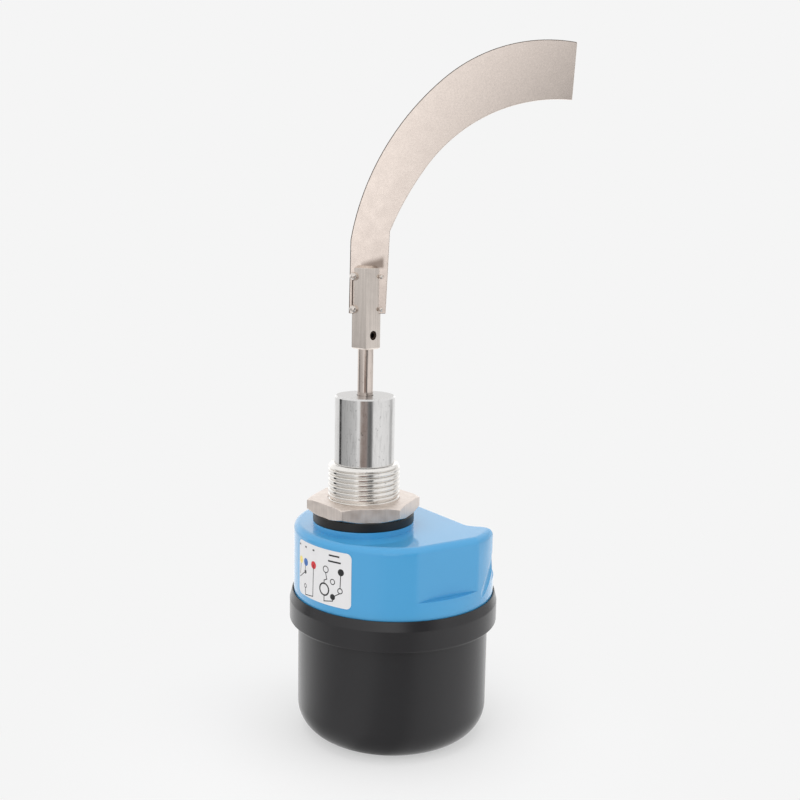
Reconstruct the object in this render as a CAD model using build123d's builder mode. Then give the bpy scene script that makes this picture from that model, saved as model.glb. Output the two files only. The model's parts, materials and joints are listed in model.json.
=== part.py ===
# Rotary paddle level switch with a G1 mounting thread.
#
# The switch stands on its black cover with the paddle up. +Z is the paddle shaft's axis, and
# the origin lies on that axis at the sealing face, where the rubber gasket rests on the blue
# housing. +X runs from the shaft's axis to the axis of the round housing and to the cable
# entry. All sizes are in millimetres.

import os
from math import atan2, cos, degrees, radians, sin, sqrt, tan

from build123d import *

os.makedirs("parts", exist_ok=True)

# Fits and clearances
RUN_FIT = 0.03            # radial play of a turning shaft in its bore
LOOSE_FIT = 0.05          # radial play of a fixed piece that is slipped into its bore
TRAVEL_GAP = 0.3          # air between pieces that pass each other
SCREW_PLAY = 0.2          # radial play of a screw in a clearance hole

# Spigot: one turned piece with a flange inside, a G1 thread and a smooth sleeve
THREAD_D = 33.25
THREAD_TOP = 27.4
THREAD_CHAMFER = 1.2
SLEEVE_D = 27.8
SLEEVE_TOP = 58.8
SLEEVE_CHAMFER = 0.7
REGISTER_D = 34.0
FLANGE_D = 46.0
FLANGE_T = 5.0
NOSE_D = 26.0
NOSE_LENGTH = 9.3
END_WALL = 4.0
O_RING_WIRE = 2.0
O_RING_DEPTH = 1.5
O_RING_Z = -3.4

# Gasket and lock nut on the thread
GASKET_D = 47.1
GASKET_T = 4.3
NUT_ACROSS_FLATS = 46.0
NUT_T = 6.5
NUT_ANGLE = 36.7
NUT_TOP_CHAMFER = (1.4, 21.0)      # how far outside the flats it starts, angle
NUT_BOTTOM_CHAMFER = (0.3, 27.0)

# Paddle shaft and its two bearings
SHAFT_D = 7.2
SHAFT_END_D = 6.0
SHAFT_FLAT = 0.5
BEARING_D = 19.0
BEARING_T = 6.0
BEARING_RING_T = 2.2
SEAL_T = 6.0
CLIP_T = 1.2
CLIP_GROOVE = 0.6
CLIP_RADIAL = 2.0
SHAFT_CLIP_D = 11.0
SHAFT_CLIP_T = 0.8
SHAFT_CLIP_GROOVE = 0.5

# Paddle: a square holder slit from corner to corner, and a sickle blade standing in the slit
BLADE_ANGLE = -29.8
HOLDER_TURN = 45.0        # the holder's faces against the blade
HOLDER_SIDE = 9.2
HOLDER_BOTTOM = 80.2
HOLDER_TOP = 118.0
HOLDER_BORE_DEPTH = 15.0
HOLDER_CHAMFER = 1.2
BLADE_T = 1.5
BLADE_BOTTOM = 96.2
TAB_LEFT = -7.9
TAB_RIGHT = 8.8
OUTER_START = (-7.5, 129.1)
OUTER_JOINT = (32.55, 200.2)
OUTER_LOW_R = 119.6
INNER_START = (10.2, 133.3)
INNER_JOINT = (26.4, 162.5)
INNER_LOW_R = 137.9
TIP_TOP = (91.3, 217.1)
TIP_BOTTOM = (90.1, 192.3)
BEAD_R = 1.5
BEAD_OUT = 0.6            # from the seam's corner to the middle of a bead
BEAD_ABOVE = (2.1, 16.8)   # above the blade's lower edge
SET_SCREW_Z = 86.6
SET_SCREW_D = 4.2
SET_SCREW_SUNK = 0.6
SET_SCREW_SOCKET = 2.2
SET_SCREW_SOCKET_DEPTH = 1.2

# Housing: a round cast can whose axis lies beside the shaft's axis
CAN_R = 47.7
SHAFT_INSET = 30.3        # from the can's wall to the shaft's axis
CAN_WALL = 3.0
BOSS_D = 47.0
BOSS_H = 2.7
TOP_WALL = 4.0
TOP_ROUND = 3.0
OUTLINE_ROUND = 5.0
LEDGE_Z = -27.5
RIM_Z = -45.5
FACET_DEPTH = 2.9
NOTCH_DEPTH = 21.3
NOTCH_HALF = 24.0
NOTCH_SPLAY_ANGLE = 45.0
CONDUIT_R = 9.2
CONDUIT_Z = -15.6
CONDUIT_BOSS_R = 12.6
CONDUIT_LENGTH = 10.0
SCOOP_R = 8.0
SCOOP_DEPTH = 1.0
SCOOP_ANGLE = 306.0
SCOOP_Z = -22.0
SCOOP_SLOPE = 40.0

# Posts cast in the housing, which carry the base plate
POST_INSET = 12.2
POST_ANGLES = (50, 125, 235, 310)
POST_R = 4.5
POST_SCREW_D = 4.0
POST_SCREW_DEPTH = 9.0
POST_HEAD_D = 7.0
POST_HEAD_H = 2.4

# Cover: a deep moulded cup with a collar that goes over the housing's rim
COVER_BOTTOM = -105.1
COVER_STEP = 2.2          # the cup is this much smaller than the can
COVER_WALL = 2.5
COVER_ROUND = 13.9
COLLAR_WALL = 1.6
COLLAR_BOTTOM = -49.9
COLLAR_SHOULDER = -40.0
LIP_TOP = -35.6
LIP_T = 0.5
RIM_GASKET_T = 2.0
RIM_GASKET_W = 3.2

# Label wrapped round the housing opposite the cable entry
LABEL_FROM = 172.0
LABEL_SWEEP = 42.0
LABEL_TOP = -6.5
LABEL_BOTTOM = -32.0
LABEL_T = 0.15
LABEL_CORNER = 2.5

# Base plate, fixed under the posts
PLATE_T = 2.0
BASE_TOP = -38.0
BASE_GAP = 2.2
LEAD_SLOT_IN = 10.4       # from the terminal block's middle
LEAD_SLOT_LENGTH = 16.0
LEAD_SLOT_W = 6.0
BUSH_WALL = 2.0
BUSH_FLANGE_D = 27.0
BUSH_ABOVE = 0.5

# Swing plate, which carries the motor and turns about the shaft's axis
SWING_GAP = 3.0
SWING_RIM = 0.5           # the plate stands out round the gearbox
HUB_LOBE_R = 13.0
ARM_W = 7.0
TONGUE_W = 11.0
TRIP_T = 1.5
TRIP_BOTTOM = -63.0
HUB_D = 18.0
HUB_TOP = -35.5
HUB_CLIP_T = 1.0
SWING_MAX = 3.0
STOP_PIN_D = 3.0
STOP_PIN_INSET = 4.1
STOP_PIN_ANGLE = 51.8
MOTOR_SCREW_D = 3.0
MOTOR_SCREW_DEPTH = 5.0
M3_HEAD_D = 5.4
M3_HEAD_H = 2.0
MOTOR_SCREW_INSET = 7.0
MOTOR_SCREW_ANGLES = (0, 105, 255)

# Motor: gearbox and rotor can in one sealed unit, with its spindle off centre
MOTOR_GAP = 1.0           # between the gearbox and the switches
GEARBOX_H = 18.0
ROTOR_STEP = 1.5
ROTOR_H = 21.0
ROTOR_ROUND = 1.5
MOTOR_BOSS_D = 12.0
MOTOR_BOSS_H = 2.5
SPINDLE_D = 6.0
SPINDLE_DEPTH = 15.0

# Coupling between the paddle shaft and the motor's spindle
COUPLING_D = 14.0
COUPLING_TOP = -21.8
COUPLING_BOTTOM = -34.2
COUPLING_SPLIT = -27.0
COUPLING_PIN_D = 2.0
COUPLING_PIN_Z = (-24.4, -31.0)

# Two microswitches side by side on a bracket
SWITCH_INSET = 19.7       # from the can's inner wall
SWITCH_W = 6.2
SWITCH_D = 9.6
SWITCH_H = 20.0
SWITCH_TOP = -44.5
SWITCH_FACE_Y = -5.0
BRACKET_T = 1.2
BRACKET_FLANGE_T = 1.5
BRACKET_BACK_Y = -23.0
BRACKET_REACH = 8.6
BRACKET_SCREW_IN = ((1.1, 3.0), (8.6, 5.0))   # from the switch's side and the bracket's back
LEVER_PIVOT_Y = -4.6
LEVER_PIVOT_Z = -46.0
LEVER_ARM = 15.5
LEVER_LEAN = 12.5
LEVER_T = 0.4
LEVER_W = 4.0
LEVER_BARREL_R = 0.55
LEVER_TIP_R = 0.5
PIVOT_PIN_D = 0.6
PLUNGER_D = 2.0
PLUNGER_BELOW_PIVOT = 5.5
PLUNGER_LENGTH = 6.0
PLUNGER_TRAVEL = 1.8
PLUNGER_PLAY = 0.1
LUG_T = 0.8
LUG_OUT = 1.1
SWITCH_SCREW_D = 2.0
SWITCH_HEAD_D = 3.8
SWITCH_HEAD_H = 1.3
SWITCH_NUT_AF = 4.0
SWITCH_NUT_T = 1.4
SWITCH_SCREW_Y = -10.5
SWITCH_SCREW_Z = (-48.0, -60.5)

# Return spring between the swing plate's arm and a stud in the base plate
SPRING_BESIDE = 9.0       # from the gearbox to the spring's line
SPRING_Z = -49.5
SPRING_ARM_AT = -5.4      # from the can's axis
SPRING_STUD_AT = 21.1
SPRING_R = 2.2
SPRING_WIRE = 0.6
SPRING_TURNS = 9
SPRING_PITCH = 1.5
STUD_D = 3.0
STUD_END = 1.0

# Terminal block and earth screw under the base plate
TERMINALS = 5
TERMINAL_PITCH = 6.4
TERMINAL_AT = 0.6         # from the can's axis
TERMINAL_BESIDE = 8.9     # from the gearbox
TERMINAL_W = 10.2
TERMINAL_H = 13.0
TERMINAL_CHEEK = 1.0
WIRE_HOLE_R = 1.4
WIRE_HOLE_BELOW = 3.5
CLAMP_SCREW_D = 2.6
CLAMP_HEAD_D = 4.2
CLAMP_HEAD_H = 1.6
CLAMP_RECESS = 3.0
BLOCK_SCREW_D = 2.2
BLOCK_SCREW_DEPTH = 6.0
EARTH_INSET = 6.3
EARTH_ANGLE = 157.3
EARTH_SCREW_D = 4.0
WASHER_D = 9.0
WASHER_T = 0.8

# Radii and places that follow from the can's radius
CAN_OFFSET = CAN_R - SHAFT_INSET
FACET_DIST = CAN_R - FACET_DEPTH
NOTCH_DIST = CAN_R - NOTCH_DEPTH
POST_PITCH_R = CAN_R - POST_INSET
BASE_R = CAN_R - CAN_WALL - BASE_GAP
COVER_R = CAN_R - COVER_STEP
COVER_BORE_R = CAN_R + TRAVEL_GAP
COLLAR_R = COVER_BORE_R + COLLAR_WALL
SWITCH_X = CAN_OFFSET + CAN_R - CAN_WALL - SWITCH_INSET
GEARBOX_R = SWITCH_X - CAN_OFFSET - MOTOR_GAP
ROTOR_R = GEARBOX_R - ROTOR_STEP
SWING_R = GEARBOX_R + SWING_RIM
MOTOR_SCREW_PITCH_R = GEARBOX_R - MOTOR_SCREW_INSET
SPRING_Y = -GEARBOX_R - SPRING_BESIDE
SPRING_ARM_X = CAN_OFFSET + SPRING_ARM_AT
SPRING_STUD_X = CAN_OFFSET + SPRING_STUD_AT
TERMINAL_X = CAN_OFFSET + TERMINAL_AT
TERMINAL_Y = GEARBOX_R + TERMINAL_BESIDE
LEAD_SLOT_AT = (TERMINAL_X, TERMINAL_Y - LEAD_SLOT_IN)
STOP_PIN_AT = (
    CAN_OFFSET + (SWING_R - STOP_PIN_INSET) * cos(radians(STOP_PIN_ANGLE)),
    (SWING_R - STOP_PIN_INSET) * sin(radians(STOP_PIN_ANGLE)),
)
EARTH_AT = (
    CAN_OFFSET + (BASE_R - EARTH_INSET) * cos(radians(EARTH_ANGLE)),
    (BASE_R - EARTH_INSET) * sin(radians(EARTH_ANGLE)),
)
BRACKET_SCREWS = [(SWITCH_X + right, BRACKET_BACK_Y + ahead) for right, ahead in BRACKET_SCREW_IN]

# Heights and other places that follow from the sizes above
TOP_Z = -BOSS_H
CEILING_Z = TOP_Z - TOP_WALL
FLANGE_BOTTOM = CEILING_Z - FLANGE_T
NOSE_BOTTOM = FLANGE_BOTTOM - NOSE_LENGTH
SEAL_TOP = SLEEVE_TOP - END_WALL
UPPER_BEARING_TOP = SEAL_TOP - SEAL_T
UPPER_BEARING_BOTTOM = UPPER_BEARING_TOP - BEARING_T
CLIP_BOTTOM = NOSE_BOTTOM + 0.4
CLIP_TOP = CLIP_BOTTOM + CLIP_T
LOWER_BEARING_BOTTOM = CLIP_TOP
LOWER_BEARING_TOP = LOWER_BEARING_BOTTOM + BEARING_T
BASE_BOTTOM = BASE_TOP - PLATE_T
SWING_TOP = BASE_BOTTOM - SWING_GAP
SWING_BOTTOM = SWING_TOP - PLATE_T
GEARBOX_BOTTOM = SWING_BOTTOM - GEARBOX_H
ROTOR_BOTTOM = GEARBOX_BOTTOM - ROTOR_H
SHOULDER_Z = RIM_Z - RIM_GASKET_T
SWITCH_PITCH = SWITCH_W + BRACKET_T
SWITCH_CENTRES = [SWITCH_X + SWITCH_W / 2 + i * SWITCH_PITCH for i in range(2)]
LEVER_TIP_Y = LEVER_PIVOT_Y + LEVER_ARM * sin(radians(LEVER_LEAN))
LEVER_TIP_Z = LEVER_PIVOT_Z - LEVER_ARM * cos(radians(LEVER_LEAN))
TRIP_FACE_Y = LEVER_TIP_Y + LEVER_TIP_R + TRAVEL_GAP
HOLDER_ANGLE = BLADE_ANGLE + HOLDER_TURN
HOLDER_PLANE = Plane.XY.rotated((0, 0, HOLDER_ANGLE))
HOLDER_FRONT = Plane.XZ.rotated((0, 0, HOLDER_ANGLE))
BLADE_MIDDLE = Plane.XZ.rotated((0, 0, BLADE_ANGLE))
FLANGE_SCREW_R = (REGISTER_D + BOSS_D) / 4


def post_points():
    """Centres of the housing's posts, seen from the shaft's axis."""
    return [
        (CAN_OFFSET + POST_PITCH_R * cos(radians(a)), POST_PITCH_R * sin(radians(a)))
        for a in POST_ANGLES
    ]


def motor_screw_points():
    """Centres of the screws that hold the motor under the swing plate."""
    return [
        (CAN_OFFSET + MOTOR_SCREW_PITCH_R * cos(radians(a)), MOTOR_SCREW_PITCH_R * sin(radians(a)))
        for a in MOTOR_SCREW_ANGLES
    ]


def pan_screw(diameter, length, head_d, head_h):
    """A pan head screw on +Z: the head's seat is at z = 0 and the shank goes up."""
    with BuildPart() as screw:
        with BuildSketch(Plane.XY):
            Circle(diameter / 2)
        extrude(amount=length)
        chamfer(screw.edges().sort_by(Axis.Z)[-1], diameter * 0.12)
        with BuildSketch(Plane.XY):
            Circle(head_d / 2)
        extrude(amount=-head_h)
        fillet(screw.edges().sort_by(Axis.Z)[0], head_h * 0.4)
        with BuildSketch(Plane.XY.offset(-head_h)):
            Rectangle(head_d * 0.62, head_d * 0.16)
            Rectangle(head_d * 0.16, head_d * 0.62)
        extrude(amount=head_h * 0.5, mode=Mode.SUBTRACT)
    return screw.part


# Housing
notch_spread = CAN_R * tan(radians(NOTCH_SPLAY_ANGLE))
with BuildPart() as housing:
    with BuildSketch(Plane.XY.offset(RIM_Z)):
        with Locations((CAN_OFFSET, 0)):
            Circle(CAN_R)
    extrude(amount=LEDGE_Z - RIM_Z)

    # Upper block with the flat on its side and the notch for the cable gland
    with BuildSketch(Plane.XY.offset(LEDGE_Z)) as upper_outline:
        with Locations((CAN_OFFSET, 0)):
            Circle(CAN_R)
        with Locations((CAN_OFFSET, -FACET_DIST - CAN_R / 2)):
            Rectangle(2 * CAN_R, CAN_R, mode=Mode.SUBTRACT)
        with BuildLine():
            Polyline(
                (CAN_OFFSET + NOTCH_DIST, -NOTCH_HALF),
                (CAN_OFFSET + NOTCH_DIST, NOTCH_HALF),
                (CAN_OFFSET + NOTCH_DIST + CAN_R, NOTCH_HALF + notch_spread),
                (CAN_OFFSET + NOTCH_DIST + CAN_R, -NOTCH_HALF - notch_spread),
                close=True,
            )
        make_face(mode=Mode.SUBTRACT)
        fillet(upper_outline.vertices(), OUTLINE_ROUND)
    extrude(amount=TOP_Z - LEDGE_Z)
    fillet(housing.edges().group_by(Axis.Z)[-1], TOP_ROUND)

    # Boss under the gasket
    with BuildSketch(Plane.XY.offset(TOP_Z)):
        Circle(BOSS_D / 2)
    extrude(amount=BOSS_H)

    # Hollow inside
    with BuildSketch(Plane.XY.offset(RIM_Z)):
        with Locations((CAN_OFFSET, 0)):
            Circle(CAN_R - CAN_WALL)
    extrude(amount=LEDGE_Z - CAN_WALL - RIM_Z, mode=Mode.SUBTRACT)
    with BuildSketch(Plane.XY.offset(LEDGE_Z - CAN_WALL)):
        add(offset(upper_outline.sketch, -CAN_WALL, kind=Kind.INTERSECTION, mode=Mode.PRIVATE))
    extrude(amount=CEILING_Z - LEDGE_Z + CAN_WALL, mode=Mode.SUBTRACT)

    # Boss and threaded hole of the cable entry
    with BuildSketch(Plane.YZ.offset(CAN_OFFSET + NOTCH_DIST - CONDUIT_LENGTH)):
        with Locations((0, CONDUIT_Z)):
            Circle(CONDUIT_BOSS_R)
    extrude(amount=CONDUIT_LENGTH - CAN_WALL / 2)
    with BuildSketch(Plane.YZ.offset(CAN_OFFSET + NOTCH_DIST - CONDUIT_LENGTH)):
        with Locations((0, CONDUIT_Z)):
            Circle(CONDUIT_R)
    extrude(amount=CONDUIT_LENGTH, mode=Mode.SUBTRACT)

    # Posts for the base plate, each with a threaded hole
    with BuildSketch(Plane.XY.offset(BASE_TOP)):
        with Locations(*post_points()):
            Circle(POST_R)
    extrude(amount=CEILING_Z - BASE_TOP)
    with BuildSketch(Plane.XY.offset(BASE_TOP)):
        with Locations(*post_points()):
            Circle(POST_SCREW_D / 2 + LOOSE_FIT)
    extrude(amount=POST_SCREW_DEPTH + 1, mode=Mode.SUBTRACT)

    # Bore for the spigot's register and the threaded holes of its flange screws
    with BuildSketch(Plane.XY):
        Circle(REGISTER_D / 2 + LOOSE_FIT)
    extrude(amount=CEILING_Z, mode=Mode.SUBTRACT)
    with BuildSketch(Plane.XY.offset(CEILING_Z)):
        with PolarLocations(FLANGE_SCREW_R, 4, start_angle=45):
            Circle(MOTOR_SCREW_D / 2 + LOOSE_FIT)
    extrude(amount=TOP_WALL + BOSS_H * 0.4, mode=Mode.SUBTRACT)

    # Shallow hollow that eases the corner below the notch
    scoop_out = (cos(radians(SCOOP_ANGLE)), sin(radians(SCOOP_ANGLE)), 0)
    scoop_along = (-scoop_out[1], scoop_out[0], 0)
    scoop_centre = (
        CAN_OFFSET + (CAN_R - SCOOP_DEPTH + SCOOP_R) * scoop_out[0],
        (CAN_R - SCOOP_DEPTH + SCOOP_R) * scoop_out[1],
        SCOOP_Z,
    )
    scoop_axis = (
        scoop_along[0] * cos(radians(SCOOP_SLOPE)),
        scoop_along[1] * cos(radians(SCOOP_SLOPE)),
        sin(radians(SCOOP_SLOPE)),
    )
    with BuildSketch(Plane(scoop_centre, x_dir=scoop_out, z_dir=scoop_axis)):
        Circle(SCOOP_R)
    extrude(amount=CAN_R / 2, both=True, mode=Mode.SUBTRACT)

housing.part.label = "housing"
export_step(housing.part, "parts/housing.step")


# Spigot
with BuildPart() as spigot:
    with BuildSketch(Plane.XZ) as spigot_section:
        with BuildLine():
            Polyline(
                (BEARING_D / 2, NOSE_BOTTOM),
                (NOSE_D / 2, NOSE_BOTTOM),
                (NOSE_D / 2, FLANGE_BOTTOM),
                (FLANGE_D / 2, FLANGE_BOTTOM),
                (FLANGE_D / 2, CEILING_Z),
                (REGISTER_D / 2, CEILING_Z),
                (REGISTER_D / 2, O_RING_Z - O_RING_WIRE / 2),
                (REGISTER_D / 2 - O_RING_DEPTH, O_RING_Z - O_RING_WIRE / 2),
                (REGISTER_D / 2 - O_RING_DEPTH, O_RING_Z + O_RING_WIRE / 2),
                (REGISTER_D / 2, O_RING_Z + O_RING_WIRE / 2),
                (REGISTER_D / 2, -0.2),
                (THREAD_D / 2, -0.2),
                (THREAD_D / 2, THREAD_TOP - THREAD_CHAMFER),
                (THREAD_D / 2 - THREAD_CHAMFER, THREAD_TOP),
                (SLEEVE_D / 2, THREAD_TOP),
                (SLEEVE_D / 2, SLEEVE_TOP - SLEEVE_CHAMFER),
                (SLEEVE_D / 2 - SLEEVE_CHAMFER, SLEEVE_TOP),
                (SHAFT_D / 2 + TRAVEL_GAP, SLEEVE_TOP),
                (SHAFT_D / 2 + TRAVEL_GAP, SEAL_TOP),
                (BEARING_D / 2, SEAL_TOP),
                (BEARING_D / 2, CLIP_TOP),
                (BEARING_D / 2 + CLIP_GROOVE, CLIP_TOP),
                (BEARING_D / 2 + CLIP_GROOVE, CLIP_BOTTOM),
                (BEARING_D / 2, CLIP_BOTTOM),
                close=True,
            )
        make_face()
    revolve(axis=Axis.Z)
    with BuildSketch(Plane.XY.offset(FLANGE_BOTTOM)):
        with PolarLocations(FLANGE_SCREW_R, 4, start_angle=45):
            Circle(MOTOR_SCREW_D / 2 + SCREW_PLAY)
    extrude(amount=FLANGE_T, mode=Mode.SUBTRACT)
spigot.part.label = "spigot"
export_step(spigot.part, "parts/spigot.step")


# O-ring in the spigot's register
with BuildPart() as spigot_o_ring:
    with BuildSketch(Plane.XZ):
        with Locations((REGISTER_D / 2 - O_RING_DEPTH / 2, O_RING_Z)):
            Ellipse(O_RING_DEPTH / 2, O_RING_WIRE / 2)
    revolve(axis=Axis.Z)
spigot_o_ring.part.label = "spigot_o_ring"
export_step(spigot_o_ring.part, "parts/spigot_o_ring.step")


# Screws that hold the spigot's flange under the housing's top
flange_screw = pan_screw(MOTOR_SCREW_D, FLANGE_T + TOP_WALL, M3_HEAD_D, M3_HEAD_H)
with BuildPart() as flange_screws:
    with PolarLocations(FLANGE_SCREW_R, 4, start_angle=45):
        add(flange_screw.moved(Location((0, 0, FLANGE_BOTTOM))))
flange_screws.part.label = "flange_screws"
export_step(flange_screws.part, "parts/flange_screws.step")


# Flange gasket
with BuildPart() as flange_gasket:
    with BuildSketch(Plane.XY):
        Circle(GASKET_D / 2)
        Circle(THREAD_D / 2 + TRAVEL_GAP, mode=Mode.SUBTRACT)
    extrude(amount=GASKET_T)
    fillet(flange_gasket.edges().filter_by(GeomType.CIRCLE).group_by(SortBy.RADIUS)[-1], 0.5)
flange_gasket.part.label = "flange_gasket"
export_step(flange_gasket.part, "parts/flange_gasket.step")


# Lock nut: a flat hexagon nut, bevelled on both faces
nut_corner_r = NUT_ACROSS_FLATS / sqrt(3)
nut_top_r = NUT_ACROSS_FLATS / 2 + NUT_TOP_CHAMFER[0]
nut_top_drop = (nut_corner_r - nut_top_r) * tan(radians(NUT_TOP_CHAMFER[1]))
nut_bottom_r = NUT_ACROSS_FLATS / 2 + NUT_BOTTOM_CHAMFER[0]
nut_bottom_rise = (nut_corner_r - nut_bottom_r) * tan(radians(NUT_BOTTOM_CHAMFER[1]))
with BuildPart() as lock_nut:
    with BuildSketch(Plane.XY.offset(GASKET_T)):
        RegularPolygon(nut_corner_r, 6, rotation=NUT_ANGLE)
    extrude(amount=NUT_T)
    with BuildSketch(Plane.XZ):
        with BuildLine():
            Polyline(
                (0, GASKET_T),
                (nut_bottom_r, GASKET_T),
                (nut_corner_r, GASKET_T + nut_bottom_rise),
                (nut_corner_r, GASKET_T + NUT_T - nut_top_drop),
                (nut_top_r, GASKET_T + NUT_T),
                (0, GASKET_T + NUT_T),
                close=True,
            )
        make_face()
    revolve(axis=Axis.Z, mode=Mode.INTERSECT)
    with BuildSketch(Plane.XY.offset(GASKET_T)):
        Circle(THREAD_D / 2 + LOOSE_FIT)
    extrude(amount=NUT_T, mode=Mode.SUBTRACT)
lock_nut.part.label = "lock_nut"
export_step(lock_nut.part, "parts/lock_nut.step")


# Paddle shaft, with a turned-down end that the holder is pushed on
LOWER_CLIP_TOP = LOWER_BEARING_BOTTOM
UPPER_CLIP_BOTTOM = LOWER_BEARING_TOP
with BuildPart() as paddle_shaft:
    with BuildSketch(Plane.XY.offset(COUPLING_SPLIT + TRAVEL_GAP / 2)):
        Circle(SHAFT_D / 2)
    extrude(amount=HOLDER_BOTTOM - COUPLING_SPLIT - TRAVEL_GAP / 2)
    with BuildSketch(Plane.XY.offset(HOLDER_BOTTOM)):
        Circle(SHAFT_END_D / 2)
    extrude(amount=HOLDER_BORE_DEPTH - 0.5)
    chamfer(paddle_shaft.edges().group_by(Axis.Z)[-1], 0.5)
    # Flat for the set screw
    with BuildSketch(HOLDER_PLANE.offset(SET_SCREW_Z - SET_SCREW_D)):
        with Locations((0, -SHAFT_END_D)):
            Rectangle(SHAFT_D, SHAFT_END_D + 2 * SHAFT_FLAT)
    extrude(amount=2 * SET_SCREW_D, mode=Mode.SUBTRACT)
    # Grooves for the two clips beside the lower bearing
    for groove_z in (LOWER_CLIP_TOP - SHAFT_CLIP_T, UPPER_CLIP_BOTTOM):
        with BuildSketch(Plane.XY.offset(groove_z)):
            Circle(SHAFT_D)
            Circle(SHAFT_D / 2 - SHAFT_CLIP_GROOVE, mode=Mode.SUBTRACT)
        extrude(amount=SHAFT_CLIP_T, mode=Mode.SUBTRACT)
    # Cross hole of the upper coupling pin
    with BuildSketch(Plane.XZ):
        with Locations((0, COUPLING_PIN_Z[0])):
            Circle(COUPLING_PIN_D / 2)
    extrude(amount=SHAFT_D, both=True, mode=Mode.SUBTRACT)
paddle_shaft.part.label = "paddle_shaft"
export_step(paddle_shaft.part, "parts/paddle_shaft.step")


# Clips on the shaft, above and below the lower bearing
with BuildPart() as shaft_clips:
    for clip_z in (LOWER_CLIP_TOP - SHAFT_CLIP_T, UPPER_CLIP_BOTTOM):
        with BuildSketch(Plane.XY.offset(clip_z)):
            Circle(SHAFT_CLIP_D / 2)
            Circle(SHAFT_D / 2 - SHAFT_CLIP_GROOVE, mode=Mode.SUBTRACT)
            with Locations((SHAFT_CLIP_D / 2, 0)):
                Rectangle(SHAFT_CLIP_D, SHAFT_D * 0.7, mode=Mode.SUBTRACT)
        extrude(amount=SHAFT_CLIP_T)
shaft_clips.part.label = "shaft_clips"
export_step(shaft_clips.part, "parts/shaft_clips.step")


# Bearings: outer rings fixed in the spigot, inner rings turning with the shaft
with BuildPart() as bearing_outer_rings:
    for ring_z in (LOWER_BEARING_BOTTOM, UPPER_BEARING_BOTTOM):
        with BuildSketch(Plane.XY.offset(ring_z)):
            Circle(BEARING_D / 2)
            Circle(BEARING_D / 2 - BEARING_RING_T, mode=Mode.SUBTRACT)
        extrude(amount=BEARING_T)
        # Shields that close both sides
        for shield_z in (ring_z, ring_z + BEARING_T - 0.4):
            with BuildSketch(Plane.XY.offset(shield_z)):
                Circle(BEARING_D / 2 - BEARING_RING_T)
                Circle(SHAFT_D / 2 + BEARING_RING_T * 0.8 + 0.15, mode=Mode.SUBTRACT)
            extrude(amount=0.4)
bearing_outer_rings.part.label = "bearing_outer_rings"
export_step(bearing_outer_rings.part, "parts/bearing_outer_rings.step")

with BuildPart() as bearing_inner_rings:
    for ring_z in (LOWER_BEARING_BOTTOM, UPPER_BEARING_BOTTOM):
        with BuildSketch(Plane.XY.offset(ring_z)):
            Circle(SHAFT_D / 2 + BEARING_RING_T * 0.8)
            Circle(SHAFT_D / 2, mode=Mode.SUBTRACT)
        extrude(amount=BEARING_T)
bearing_inner_rings.part.label = "bearing_inner_rings"
export_step(bearing_inner_rings.part, "parts/bearing_inner_rings.step")


# Tube that keeps the two bearings apart
with BuildPart() as bearing_spacer:
    with BuildSketch(Plane.XY.offset(LOWER_BEARING_TOP)):
        Circle(BEARING_D / 2 - LOOSE_FIT)
        Circle(BEARING_D / 2 - BEARING_RING_T, mode=Mode.SUBTRACT)
    extrude(amount=UPPER_BEARING_BOTTOM - LOWER_BEARING_TOP)
bearing_spacer.part.label = "bearing_spacer"
export_step(bearing_spacer.part, "parts/bearing_spacer.step")


# Clip that holds the bearings in the spigot's bore
with BuildPart() as bearing_clip:
    with BuildSketch(Plane.XY.offset(CLIP_BOTTOM)):
        Circle(BEARING_D / 2 + CLIP_GROOVE)
        Circle(BEARING_D / 2 - CLIP_RADIAL, mode=Mode.SUBTRACT)
        with Locations((0, -BEARING_D / 2)):
            Rectangle(BEARING_D * 0.35, BEARING_D * 0.6, mode=Mode.SUBTRACT)
    extrude(amount=CLIP_T)
bearing_clip.part.label = "bearing_clip"
export_step(bearing_clip.part, "parts/bearing_clip.step")


# Lip seal at the top of the sleeve
with BuildPart() as shaft_seal:
    with BuildSketch(Plane.XZ):
        with BuildLine():
            Polyline(
                (BEARING_D / 2, UPPER_BEARING_TOP),
                (BEARING_D / 2, SEAL_TOP),
                (SHAFT_D / 2 + 1.0, SEAL_TOP),
                (SHAFT_D / 2 + RUN_FIT, SEAL_TOP - SEAL_T * 0.3),
                (SHAFT_D / 2 + 0.8, SEAL_TOP - SEAL_T * 0.55),
                (SHAFT_D / 2 + 3.0, SEAL_TOP - SEAL_T * 0.5),
                (SHAFT_D / 2 + 3.0, UPPER_BEARING_TOP),
                close=True,
            )
        make_face()
    revolve(axis=Axis.Z)
shaft_seal.part.label = "shaft_seal"
export_step(shaft_seal.part, "parts/shaft_seal.step")


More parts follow.
